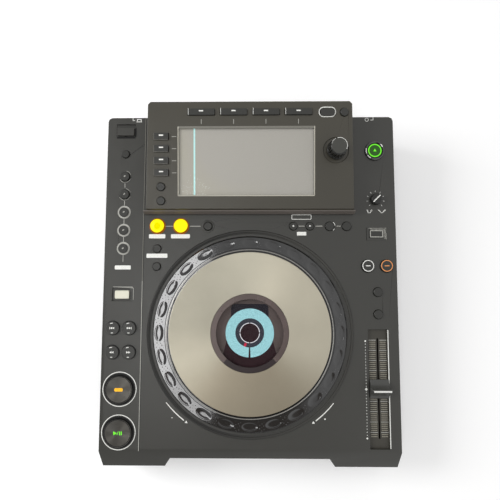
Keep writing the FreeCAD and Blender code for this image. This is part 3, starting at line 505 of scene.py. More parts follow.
@dataclass(frozen=True)
class Lamp:
    """Lit cap or symbol, brighter in its middle tones."""

    name: str
    colour: tuple
    strength: float
    body: tuple = (0.02, 0.02, 0.02)
    mottle: float = 0.12
    grain: float = 300.0

    def build(self) -> Material:
        """Make the material."""
        shader = Shader(self.name)
        shader.set(Roughness=0.4, Emission_Strength=self.strength, Specular_IOR_Level=0.15,
                   Base_Color=shade(self.body))
        glow = shader.mottled(shader.noise(self.grain), self.colour,
                              (0.3, 1 - self.mottle), (0.7, 1 + self.mottle))
        shader.feed(glow, "Emission Color")
        return shader.material


@dataclass(frozen=True)
class Ink:
    """Printed mark with slightly worn cover; the same ink also serves for painted highlights and glints."""

    name: str
    colour: tuple

    def build(self) -> Material:
        """Make the material."""
        shader = Shader(self.name)
        shader.set(Roughness=0.5)
        worn = shader.mottled(shader.noise(scale=900.0, detail=4.0), self.colour, (0.25, 0.8), (0.6, 1.0))
        shader.feed(worn, "Base Color")
        return shader.material


@dataclass(frozen=True)
class ScreenGlow:
    """Switched-off liquid crystal screen: warm grey with a slow drift to blue."""

    name: str
    warm: tuple
    cool: tuple

    def build(self) -> Material:
        """Make the material."""
        shader = Shader(self.name)
        shader.set(Roughness=0.35, IOR=1.4)
        drift = shader.noise(scale=6.5, detail=2.0)
        shader.feed(shader.blend(drift, (0.35, shade(self.warm)), (0.62, shade(self.cool))), "Base Color")
        shader.bump(shader.noise(scale=3000.0, detail=1.0), depth=0.00001, strength=0.2)
        return shader.material


class Palette:
    """All finishes of the player, made once."""

    def __init__(self, panel: Surface, jog: Vector) -> None:
        """Build the materials.

        Args:
            panel: The control panel's face.
            jog: Middle of the jog wheel in the row frame.
        """
        self.axis = (panel.matrix.to_3x3() @ Vector((0, 0, 1))).normalized()
        self.case = Moulding("case_grain", (0.034, 0.034, 0.032), 0.46, shine=1.55).build()
        self.panel = Moulding("panel_satin", (0.026, 0.0255, 0.021), 0.36, shine=1.58).build()
        self.housing = Moulding("housing_satin", (0.036, 0.032, 0.021), 0.38, shine=1.58).build()
        self.cap = Moulding("button_cap", (0.024, 0.024, 0.021), 0.34, 4000.0, 0.00001).build()
        self.black = Moulding("black_moulding_and_shade", (0.008, 0.008, 0.008), 0.4, shine=1.3).build()
        self.trim = PaintedShadeBand("rim_trim_painted_shade", (0.008, 0.0075, 0.006), (0.034, 0.033, 0.028)).build()
        self.knob = Moulding("knob_plastic", (0.010, 0.010, 0.009), 0.26, 4000.0, 0.00001).build()
        self.knob_top = Moulding("knob_top", (0.040, 0.040, 0.034), 0.4, 4000.0, 0.00001).build()
        self.fader_cap = Moulding("fader_cap_plastic", (0.050, 0.050, 0.046), 0.33, 4000.0, 0.00001).build()
        self.scale = Moulding("scale_plate", (0.036, 0.033, 0.025), 0.45).build()
        self.rubber = Moulding("foot_rubber", (0.02, 0.02, 0.02), 0.75, 1500.0, 0.0001).build()
        self.ring = Gloss("ring_gloss", (0.010, 0.010, 0.010), 0.10, 1.0).build()
        self.pale = Gloss("pale_key", (0.62, 0.61, 0.50), 0.3, 0.2).build()
        # The plate's colour carries painted shade, darker toward the front and toward the rear left.
        self.plate = SpunMetal("plate_spun", (0.505, 0.47, 0.375), jog, self.axis, 0.46, 0.55,
                               dim=(0.58, 0.545, 0.51)).build()
        self.chrome = Metal("dark_trim", (0.10, 0.10, 0.10), 0.14).build()
        self.steel = Metal("plated_steel", (0.55, 0.55, 0.53), 0.3).build()
        self.groove = Metal("groove_metal", (0.30, 0.29, 0.27), 0.4).build()
        self.dark_steel = Metal("blackened_steel", (0.12, 0.12, 0.12), 0.35).build()
        self.window = Pane("clear_window", (0.5, 0.49, 0.45), 0.10, 0.1, 0.3).build()
        self.tint = Pane("tinted_window", (0.006, 0.003, 0.004), 0.3, 0.0, 0.2).build()
        self.screen = ScreenGlow("screen_grey", (0.378, 0.356, 0.262), (0.367, 0.352, 0.318)).build()
        self.bezel = Moulding("screen_bezel", (0.44, 0.42, 0.35), 0.5).build()
        self.cyan = Lamp("screen_line", (0.45, 0.78, 0.76), 0.45, (0.3, 0.5, 0.5)).build()
        self.display_cyan = Lamp("display_ring", (0.42, 0.82, 0.88), 1.5, (0.02, 0.03, 0.03),
                                 mottle=0.3, grain=1300.0).build()
        self.display_white = Lamp("display_white", (0.95, 0.95, 1.0), 1.6).build()
        self.display_red = Lamp("display_red", (0.9, 0.04, 0.10), 1.2).build()
        self.display_dark = Gloss("display_dark", (0.03, 0.03, 0.05), 0.3, 0.0).build()
        self.display_navy = Gloss("display_navy", (0.12, 0.14, 0.19), 0.3, 0.0).build()
        self.display_maroon = Gloss("display_maroon", (0.07, 0.022, 0.032), 0.3, 0.0).build()
        self.display_wall = Gloss("display_wall", (0.33, 0.255, 0.235), 0.4, 0.0).build()
        self.border = Gloss("window_border", (0.085, 0.060, 0.055), 0.25, 0.0).build()
        self.border_dark = Gloss("window_border_dark", (0.010, 0.002, 0.003), 0.3, 0.0).build()
        # Lighter than the housing: painted highlight for the lit lip at the housing's front.
        self.lip = Moulding("housing_lip_highlight", (0.115, 0.10, 0.088), 0.45).build()
        self.yellow = Lamp("lit_yellow", (1.0, 0.92, 0.0), 0.95, (0.2, 0.12, 0.0), 0.02).build()
        self.fringe = Lamp("lit_fringe", (0.42, 0.12, 0.0), 0.5, (0.1, 0.03, 0.0), 0.2).build()
        self.amber = Lamp("lit_amber", (1.0, 0.50, 0.01), 1.1).build()
        self.green = Lamp("lit_green", (0.16, 0.9, 0.02), 1.1).build()
        self.deep_green = Lamp("lit_deep_green", (0.012, 0.085, 0.0), 1.0).build()
        self.orange = Lamp("lit_orange", (0.85, 0.33, 0.10), 0.9).build()
        self.white = Ink("print_white_and_highlights", (0.80, 0.80, 0.76)).build()
        self.grey = Ink("print_grey", (0.40, 0.395, 0.36)).build()
        self.faint = Ink("print_faint_and_highlights", (0.17, 0.165, 0.14)).build()
        self.tan = Ink("print_tan", (0.30, 0.28, 0.22)).build()

    def spun(self, name: str, colour: tuple, centre: Vector, roughness: float) -> Material:
        """Spun finish about another centre."""
        return SpunMetal(name, colour, centre, self.axis, roughness, 0.85, 3000.0).build()


def skin(node: str, material: Material, body: str, edge: float = 0.3,
         angle: float = 28.0, segments: int = 2) -> None:
    """Copy of a CAD node with merged duplicate vertices and softened edges, which stands for it.

    Args:
        node: CAD node.
        material: Finish of the piece.
        body: Body that it rides on.
        edge: Width of the softened edges, in millimetres.
        angle: Smallest angle between faces that is softened, in degrees.
        segments: Faces across a softened edge.
    """
    piece = new_piece(node + "_skin", bpy.data.objects[node].data.copy())
    bpy.ops.object.mode_set(mode="EDIT")
    bpy.ops.mesh.select_all(action="SELECT")
    bpy.ops.mesh.remove_doubles(threshold=0.000002)
    bpy.ops.object.mode_set(mode="OBJECT")
    if edge > 0:
        bevel = piece.modifiers.new("soft_edges", "BEVEL")
        bevel.width = edge * MM
        bevel.segments = segments
        bevel.limit_method = "ANGLE"
        bevel.angle_limit = math.radians(angle)
        bpy.ops.object.modifier_apply(modifier=bevel.name)
    bpy.ops.object.shade_smooth_by_angle(angle=math.radians(32))
    weigh = piece.modifiers.new("flat_faces", "WEIGHTED_NORMAL")
    weigh.keep_sharp = True
    weigh.weight = 100
    bpy.ops.object.modifier_apply(modifier=weigh.name)
    register(piece, material, body)
    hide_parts(node)


def span_of(surface: Surface, node: str) -> tuple[Vector, Vector]:
    """Lowest and highest corner of a node in a surface's own frame."""
    inverse = surface.matrix.inverted()
    corners = [inverse @ vertex.co for vertex in bpy.data.objects[node].data.vertices]
    return (Vector([min(corner[axis] for corner in corners) for axis in range(3)]),
            Vector([max(corner[axis] for corner in corners) for axis in range(3)]))


class Print:
    """Flat marks of one colour on one face, drawn as closed outlines and filled."""

    def __init__(self, name: str, surface: Surface, above: float, thick: float = 0.04) -> None:
        """Start an empty print.

        Args:
            name: Name of the piece.
            surface: Face that it lies on.
            above: Height of its middle above the face, in millimetres.
            thick: Half its thickness, in millimetres.
        """
        self.name = name
        self.surface = surface
        self.above = above
        self.thick = thick
        self.outlines: list[list[Point]] = []

    def outline(self, points: list[Point]) -> None:
        """Add a closed outline."""
        self.outlines.append(points)

    def disc(self, x: float, y: float, radius: float, steps: int = 40) -> None:
        """Add a round mark."""
        self.outline([polar(x, y, radius, 2 * math.pi * k / steps) for k in range(steps)])

    def ring(self, x: float, y: float, radius: float, width: float, steps: int = 72) -> None:
        """Add a round line."""
        self.disc(x, y, radius + width / 2, steps)
        self.disc(x, y, radius - width / 2, steps)

    def arc(self, x: float, y: float, radius: float, width: float, start: float, end: float,
            taper: float = 1.0) -> None:
        """Add part of a round line, from start to end in degrees, narrowing to a share of its width."""
        steps = max(4, int(abs(end - start) / 4))
        outer, inner = [], []
        for k in range(steps + 1):
            turn = math.radians(start + (end - start) * k / steps)
            half = width / 2 * (1 + (taper - 1) * k / steps)
            outer.append(polar(x, y, radius + half, turn))
            inner.append(polar(x, y, radius - half, turn))
        self.outline(outer + inner[::-1])

    def box(self, x: float, y: float, width: float, height: float, corner: float = 0.0) -> None:
        """Add a filled box with rounded corners."""
        if corner <= 0:
            self.outline([(x - width / 2, y - height / 2), (x + width / 2, y - height / 2),
                          (x + width / 2, y + height / 2), (x - width / 2, y + height / 2)])
            return
        points = []
        steps = 6
        for quarter, (sx, sy) in enumerate(((1, 1), (-1, 1), (-1, -1), (1, -1))):
            place = x + sx * (width / 2 - corner), y + sy * (height / 2 - corner)
            points += [polar(*place, corner, math.pi / 2 * (quarter + k / steps)) for k in range(steps + 1)]
        self.outline(points)

    def frame(self, x: float, y: float, width: float, height: float, corner: float, line: float) -> None:
        """Add the outline of a box as a line."""
        self.box(x, y, width, height, corner)
        self.box(x, y, width - 2 * line, height - 2 * line, max(corner - line, 0.1))

    def line(self, start: Point, end: Point, width: float) -> None:
        """Add a straight line."""
        along = Vector(end) - Vector(start)
        side = Vector((-along.y, along.x)).normalized() * width / 2
        a, b = Vector(start), Vector(end)
        self.outline([tuple(a + side), tuple(a - side), tuple(b - side), tuple(b + side)])

    def path(self, points: list[Point], width: float) -> None:
        """Add a bent line of straight runs."""
        for start, end in zip(points, points[1:]):
            self.line(start, end, width)

    def triangle(self, x: float, y: float, size: float, turn: float) -> None:
        """Add a triangle that points along turn, in degrees."""
        self.outline([polar(x, y, size, math.radians(turn + k)) for k in (0, 125, 235)])

    def mark(self, kind: Mark, x: float, y: float, size: float) -> None:
        """Add a pictogram about a point.

        Args:
            kind: Which one.
            x: Place across.
            y: Place along.
            size: Half its width, in millimetres.
        """
        way = 180 if kind in (Mark.BACK, Mark.TRACK_BACK) else 0
        sign = -1 if way else 1
        if kind is Mark.PLAY_PAUSE:
            self.triangle(x - size * 0.62, y, size * 0.5, 0)
            self.line((x - 0.1 * size, y - size * 0.36), (x + 0.18 * size, y + size * 0.4), size * 0.13)
            self.box(x + size * 0.5, y, size * 0.2, size * 0.78)
            self.box(x + size * 0.86, y, size * 0.2, size * 0.78)
            return
        self.triangle(x - sign * size * 0.45, y, size * 0.52, way)
        self.triangle(x + sign * size * 0.35, y, size * 0.52, way)
        if kind in (Mark.TRACK_BACK, Mark.TRACK_NEXT):
            self.box(x + sign * size * 0.98, y, size * 0.2, size * 0.9)

    def finish(self, material: Material, body: str = CASE, slot: str = "panel_plastic") -> None:
        """Fill the outlines, make them one mesh on the face and register it."""
        drawing = bpy.data.curves.new(self.name, "CURVE")
        drawing.dimensions = "2D"
        drawing.fill_mode = "BOTH"
        drawing.extrude = self.thick
        for points in self.outlines:
            spline = drawing.splines.new("POLY")
            spline.points.add(len(points) - 1)
            for target, (x, y) in zip(spline.points, points):
                target.co = (x, y, 0.0, 1.0)
            spline.use_cyclic_u = True
        new_piece(self.name, drawing)
        bpy.ops.object.convert(target="MESH")
        piece = bpy.context.view_layer.objects.active
        piece.location.z = self.above
        seat(piece, self.surface)
        register(piece, material, body)


def lathe(name: str, surface: Surface, centre: Point, section: list[Point], steps: int = 96) -> Piece:
    """Closed ring or disc spun from a section of radius and height.

    Args:
        name: Name of the piece.
        surface: Face that it stands on.
        centre: Its middle on the face, in millimetres.
        section: Closed section as pairs of radius and height, in millimetres.
        steps: Faces round the ring.

    Returns:
        The piece, in place and unregistered.
    """
    count = len(section)
    piece = drawn(name, [(radius, 0.0, height) for radius, height in section],
                  [(k, (k + 1) % count) for k in range(count)], [])
    bpy.ops.object.mode_set(mode="EDIT")
    bpy.ops.mesh.select_all(action="SELECT")
    bpy.ops.mesh.spin(steps=steps, angle=2 * math.pi, center=(0, 0, 0), axis=(0, 0, 1))
    bpy.ops.mesh.select_all(action="SELECT")
    bpy.ops.mesh.remove_doubles(threshold=0.0005)
    bpy.ops.mesh.normals_make_consistent(inside=False)
    bpy.ops.object.mode_set(mode="OBJECT")
    piece.location = (centre[0], centre[1], 0.0)
    seat(piece, surface)
    bpy.ops.object.shade_smooth_by_angle(angle=math.radians(35))
    return piece


@dataclass
class ControlPanel:
    """Top plate with printed marks, painted light and shade, trims and seams, measured in millimetres on its
    face.
    """

    surface: Surface
    finish: Palette
    seam_x: float = -112.4
    seam_split: float = 172.0
    length: float = 348.0
    start_ring: float = 17.15
    beat_ring: float = 7.1
    loop_label_y: float = 219.1
    slip_label_y: float = 198.5
    arrow_radius: float = 110.6

    def build(self) -> None:
        """Dress the panel."""
        skin("control_panel", self.finish.panel, CASE, 0.35)
        self.print_white_and_highlights()
        self.print_grey()
        self.seams()
        self.trims()

    def spot(self, node: str) -> Point:
        """Middle of a node across and along the panel."""
        place = self.surface.spot(node)
        return place.x, place.y

    def print_white_and_highlights(self) -> None:
        """White marks: label boxes, rings, pointers and pictograms, and a painted highlight beside the delete
        button.
        """
        marks = Print("panel_marks_white_and_highlights", self.surface, LIFT)
        in_x, out_x = self.spot("loop_in_button")[0], self.spot("loop_out_button")[0]
        marks.box(self.spot("beat_button_5")[0], 186.2, width=16.8, height=4.2, corner=0.9)
        for x, y, width in ((in_x - 0.2, self.loop_label_y, 17.3), (out_x - 0.5, self.loop_label_y, 20.0),
                            (in_x, self.slip_label_y, 22.0)):
            marks.box(x, y, width, height=4.4, corner=0.9)
        middle = (self.spot("call_back_button")[0] + self.spot("call_next_button")[0]) / 2
        marks.frame(middle, 239.4, width=21.0, height=5.3, corner=1.4, line=0.6)
        marks.box(middle, 221.8, width=9.8, height=3.8, corner=0.3)
        for node in START_BUTTONS:
            marks.ring(*self.spot(node), self.start_ring, width=0.8, steps=96)
        # Painted highlight: two bright crescent arcs on the right of the delete button.
        for width, start, end in ((0.6, -50, -28), (0.7, 8, 48)):
            marks.arc(*self.spot("delete_button"), 5.7, width, start, end)
        self.power_marks(marks)
        self.speed_marks(marks)
        self.turn_arrows(marks)
        self.fader_dots(marks)
        marks.finish(self.finish.white)

    def power_marks(self, marks: Print) -> None:
        """Small pictograms at the rear edge, by the port and over the power button."""
        marks.ring(125.2, 345.0, radius=1.8, width=0.5, steps=32)
        marks.path([(129.0, 344.6), (132.0, 344.6), (132.0, 347.7)], width=0.6)
        marks.path([(-126.4, 347.6), (-126.4, 345.0), (-124.2, 345.0)], width=0.6)
        marks.frame(-119.6, 345.0, width=5.0, height=3.2, corner=0.5, line=0.8)
        marks.box(-119.6, 343.5, width=5.8, height=0.9)

    def speed_marks(self, marks: Print) -> None:
        """Ticks round the speed knob and the two curves under it."""
        x, y = self.spot("speed_knob")
        ticks, inner, outer = 9, 8.0, 9.6
        for index in range(ticks):
            turn = math.radians(-45 + 270 * index / (ticks - 1))
            marks.line(polar(x, y, inner, turn), polar(x, y, outer, turn), width=0.4)
        foot = y - 14.2
        for steps in ((-9.6, -8.4, -8.0, -5.6, -4.9, -3.6), (2.2, 3.4, 5.9, 6.8, 9.3, 10.6)):
            marks.path([(x + step, foot + (0 if index in (2, 3) else 3)) for index, step in enumerate(steps)],
                       width=0.5)

    def turn_arrows(self, marks: Print) -> None:
        """Curved arrows at the front of the jog wheel."""
        for side in (-1, 1):
            marks.arc(*JOG_SPOT, self.arrow_radius, 0.8, -90 + side * 50.4, -90 + side * 37.2, taper=1.3)
            turn = math.radians(-90 + side * 35.6)
            marks.triangle(*polar(*JOG_SPOT, self.arrow_radius, turn), 1.7, math.degrees(turn) - side * 90)
        marks.disc(76.2, 32.8, radius=0.8, steps=20)
        marks.box(-79.0, 33.4, width=1.6, height=0.5)

    def fader_dots(self, marks: Print) -> None:
        """Column of dots beside the tempo fader, with a diamond in the middle."""
        x, low, high, count = 118.5, 14.1, 110.7, 33
        for index in range(count):
            y = low + (high - low) * index / (count - 1)
            if index == (count - 1) // 2:
                marks.outline([(x - 1.5, y), (x, y - 1.7), (x + 1.5, y), (x, y + 1.7)])
            else:
                marks.disc(x, y, 0.9 if index in (0, count - 1) else 0.42, steps=12)

    def print_grey(self) -> None:
        """Grey rings and joining lines."""
        marks = Print("panel_marks_grey", self.surface, LIFT)
        spots = [self.spot(node) for node in numbered("beat_button", 5)]
        for x, y in spots[2:]:
            marks.ring(x, y, self.beat_ring, width=0.5)
        for x, y in spots[:2]:
            for start, end in ((-150, -20), (20, 80)):
                marks.arc(x, y, 6.2, 0.35, start, end)
        for (x, upper), (_, lower) in zip(spots, spots[1:] + [(0, spots[-1][1] - 21.2)]):
            marks.line((x, upper - self.beat_ring), (x, lower + self.beat_ring), width=0.6)
        row = self.spot("loop_in_button")[1]
        for first, gap, second, room in (
                ("loop_in_button", 8.6, "loop_out_button", 8.6), ("loop_out_button", 9.4, "reloop_button", 8.0),
                ("call_back_button", 5.6, "call_next_button", 5.6),
                ("call_next_button", 6.0, "delete_button", 7.4), ("delete_button", 7.2, "memory_button", 6.2)):
            marks.line((self.spot(first)[0] + gap, row), (self.spot(second)[0] - room, row), width=0.7)
        x, y = self.spot("jog_mode_button")
        marks.path([(x - 9.0, y + 6.6), (x + 10.6, y + 6.6), (x + 10.6, y - 6.0)], width=0.35)
        x, y = self.spot("reverse_button")
        marks.path([(x - 9.6, y + 8.0), (x + 10.4, y + 8.0), (x + 11.8, y + 6.4), (x + 11.8, y - 5.5)],
                   width=0.4)
        marks.finish(self.finish.grey)

    def seams(self) -> None:
        """Raised seam lines by the side strips as painted highlight, with a painted shadow beside them."""
        edge = 0.6
        # Painted highlight: the raised seam line is light grey at the front and fainter at the rear, for the
        # step's lit edge.
        for name, low, high, ink in (("front", edge, self.seam_split, self.finish.grey),
                                     ("rear", self.seam_split, self.length - edge, self.finish.faint)):
            seam = Print("panel_seam_" + name, self.surface, LIFT, thick=0.12)
            seam.box(self.seam_x, (low + high) / 2, 0.6, high - low)
            seam.finish(ink)
        # Painted shadow: a black strip beside the seam.
        shadow = Print("panel_seam_shadow", self.surface, LIFT)
        shadow.box(self.seam_x + 0.65, self.length / 2, 0.5, self.length - 2 * edge)
        shadow.finish(self.finish.black)

    def trims(self) -> None:
        """Rings about the buttons and the jog wheel, with painted glints, painted shade and painted glow among
        them.
        """
        bezel = [(7.95, 1.2), (8.3, 2.0), (9.2, 2.35), (10.1, 1.9), (10.5, 0.9), (10.5, 0.0), (7.95, 0.0)]
        self.turned("eject_bezel", self.spot("eject_button"), bezel, self.finish.chrome)
        # Painted glints: white arcs on the top of the eject bezel.
        glints = Print("eject_glints", self.surface, 2.4)
        for start, end in ((26, 48), (165, 200), (214, 240)):
            glints.arc(*self.spot("eject_button"), 9.2, 0.9, start, end)
        glints.finish(self.finish.white)
        # Painted shade: black rings on the panel round the cue, play and skip buttons, for the shaded gaps at
        # their holes.
        well_shade = Print("button_well_shade", self.surface, LIFT)
        for node in START_BUTTONS:
            well_shade.ring(*self.spot(node), 14.9, width=1.9, steps=96)
        for node in SKIP_BUTTONS:
            well_shade.ring(*self.spot(node), 7.1, width=0.9)
        well_shade.finish(self.finish.black)
        # Painted shade: a frame in the panel's finish laid over the jog mode key's sloping well walls, so they
        # read dark.
        shade_cover = Print("jog_mode_shade_cover", self.surface, LIFT)
        shade_cover.frame(133.2, 221.55, width=21.6, height=13.7, corner=0.6, line=2.5)
        shade_cover.finish(self.finish.panel)
        cup = [(4.6, 0.02), (4.6, 0.3), (5.2, 0.65), (6.2, 0.5), (6.6, 0.02)]
        self.turned("reloop_surround", self.spot("reloop_button"), cup, self.finish.panel)
        # Turned trim round the jog wheel; its finish carries painted shade, darker on the left.
        rim = [(100.3, 0.02), (100.3, 0.5), (100.8, 0.9), (103.6, 1.5), (103.9, 1.1), (104.2, 1.5),
               (105.7, 1.6), (106.3, 1.1), (106.6, 0.02)]
        self.turned("jog_rim_trim", JOG_SPOT, rim, self.finish.trim, steps=180)
        # Painted glow: an orange emissive ring on the panel for light spilling round each lit loop cap.
        glow = [(7.85, 0.02), (7.85, 0.3), (8.3, 0.2), (8.6, 0.02)]
        for node in LOOP_BUTTONS:
            self.turned(node + "_fringe", self.spot(node), glow, self.finish.fringe)

    def turned(self, name: str, centre: Point, section: list[Point], material: Material,
               steps: int = 96) -> None:
        """Add a turned ring that stays on the panel."""
        register(lathe(name, self.surface, centre, section, steps), material, CASE)


@dataclass
class ButtonField:
    """All pressed caps of the player with what is printed or lit on them, and painted highlights."""

    panel: Surface
    housing: Surface
    finish: Palette
    plain: tuple[str, ...] = ("usb_stop_button", "reloop_button", "four_beat_button", "slip_button",
                              "call_back_button", "call_next_button", "delete_button", "memory_button",
                              "tempo_range_button", "master_tempo_button", "tag_button",
                              "time_mode_button", "quantize_button", "back_button", "sync_button",
                              "master_button", "jog_mode_button", "eject_button")

    def build(self) -> None:
        """Dress every button."""
        rows = self.plain + numbered("beat_button", 5) + numbered("top_key", 4) + numbered("source_key", 4)
        for node in rows:
            skin(node, self.finish.cap, node, 0.3)
        self.start_buttons()
        self.skip_buttons()
        self.loop_buttons()
        self.ringed_buttons()
        self.key_dashes()
        self.small_marks()

    def on_cap(self, name: str, node: str, above: float = LIFT, thick: float = 0.04) -> Print:
        """Start a print a little above the top of a button on the panel."""
        return Print(name, self.panel, span_of(self.panel, node)[1].z + above, thick)

    def start_buttons(self) -> None:
        """Cue and play buttons: spun tops with a dark rim and a lit symbol."""
        for node in START_BUTTONS:
            x, y, _ = self.panel.spot(node)
            metal = self.finish.spun(node + "_spun", (0.10, 0.095, 0.085), self.panel.point(x, y), 0.33)
            skin(node, metal, node, 0.7, segments=3)
            rim = self.on_cap(node + "_rim", node, above=0.02, thick=0.02)
            rim.ring(x, y, radius=13.1, width=0.7, steps=96)
            rim.finish(self.finish.black, node, "start_button")
            glow = self.on_cap(node + "_symbol", node)
            if node == "play_button":
                glow.mark(Mark.PLAY_PAUSE, x, y, size=4.6)
                glow.finish(self.finish.green, node, "start_button")
            else:
                glow.box(x, y, width=8.6, height=3.4, corner=1.2)
                glow.finish(self.finish.amber, node, "start_button")

    def skip_buttons(self) -> None:
        """Track and search buttons: domed caps with white pictograms and painted glints."""
        for node, mark in SKIP_BUTTONS.items():
            skin(node, self.finish.cap, node, 1.1, segments=4)
            x, y, _ = self.panel.spot(node)
            label = self.on_cap(node + "_symbol", node)
            label.mark(mark, x, y, size=2.7)
            # Painted glints: white arcs at the top and bottom of each cap.
            for start, end in ((86, 118), (-104, -80)):
                label.arc(x, y, 5.0, 0.7, start, end)
            label.finish(self.finish.white, node, "dark_button")

    def loop_buttons(self) -> None:
        """Yellow loop caps: a flat lit dome in a darker fringe."""
        for node in LOOP_BUTTONS:
            skin(node, self.finish.fringe, node, 1.2, segments=4)
            x, y, _ = self.panel.spot(node)
            top = span_of(self.panel, node)[1].z
            dome = [(0.0, top + 0.12), (6.5, top + 0.1), (7.1, top - 0.05), (7.4, top - 0.5)]
            register(lathe(node + "_lens", self.panel, (x, y), dome), self.finish.yellow, node)

    def ringed_buttons(self) -> None:
        """Pale reverse key, green eject ring, the two beat rings and the outline of the jog mode key."""
        skin("reverse_button", self.finish.pale, "reverse_button", 0.6, segments=3)
        x, y, _ = self.panel.spot("eject_button")
        ring = self.on_cap("eject_ring", "eject_button")
        ring.ring(x, y, radius=6.5, width=1.1)
        ring.triangle(x, y + 0.1, size=2.0, turn=90)
        ring.finish(self.finish.green, "eject_button", "dark_button")
        # Painted glow: a dim green disc over the cap and a little past the ring, for the ring's light spreading
        # round it.
        glow = self.on_cap("eject_glow", "eject_button", above=LIFT / 2)
        glow.disc(x, y, radius=7.6, steps=48)
        glow.finish(self.finish.deep_green, "eject_button", "dark_button")
        for node, ink in (("sync_button", self.finish.white), ("master_button", self.finish.orange)):
            x, y, _ = self.panel.spot(node)
            ring = self.on_cap(node + "_ring", node)
            ring.ring(x, y, radius=5.6, width=0.8)
            ring.box(x, y, width=5.0, height=0.9, corner=0.3)
            ring.finish(ink, node, "dark_button")
        x, y, _ = self.panel.spot("jog_mode_button")
        frame = self.on_cap("jog_mode_outline", "jog_mode_button")
        frame.frame(x, y, width=13.6, height=7.4, corner=0.8, line=0.8)
        frame.finish(self.finish.grey, "jog_mode_button", "dark_button")

    def key_dashes(self) -> None:
        """White dash on each key of the housing, and painted highlights along the edges that catch the light.
        """
        for node in numbered("top_key", 4) + numbered("source_key", 4):
            centre = self.housing.spot(node)
            low, high = span_of(self.housing, node)
            dash = Print(node + "_dash", self.housing, high.z + LIFT)
            dash.box(centre.x, centre.y + 0.5, width=4.4, height=1.3, corner=0.2)
            # Painted highlight: a thin white line along the left edge of each top key.
            if node.startswith("top"):
                dash.box(low.x + 1.5, centre.y, 0.45, high.y - low.y - 1.6)
            dash.finish(self.finish.white, node, "dark_button")
        # Painted highlight: a faint line along the left and front edges of each source key.
        for node in numbered("source_key", 4):
            low, high = span_of(self.housing, node)
            edge = Print(node + "_edge", self.housing, high.z + LIFT)
            edge.path([(low.x + 0.7, high.y - 1.2), (low.x + 0.7, low.y + 0.7), (high.x - 0.8, low.y + 0.7)],
                      width=0.3)
            edge.finish(self.finish.faint, node, "dark_button")

    def small_marks(self) -> None:
        """Dots on the beat buttons and small triangles on the call buttons."""
        for node in numbered("beat_button", 5):
            x, y, _ = self.panel.spot(node)
            dot = self.on_cap(node + "_dot", node)
            dot.line((x - 0.8, y - 0.5), (x + 0.9, y + 0.6), width=1.1)
            dot.finish(self.finish.grey, node, "dark_button")
        for node, turn in (("call_back_button", 180), ("call_next_button", 0)):
            x, y, _ = self.panel.spot(node)
            mark = self.on_cap(node + "_symbol", node)
            mark.triangle(x, y, 1.3, turn)
            mark.finish(self.finish.white, node, "dark_button")


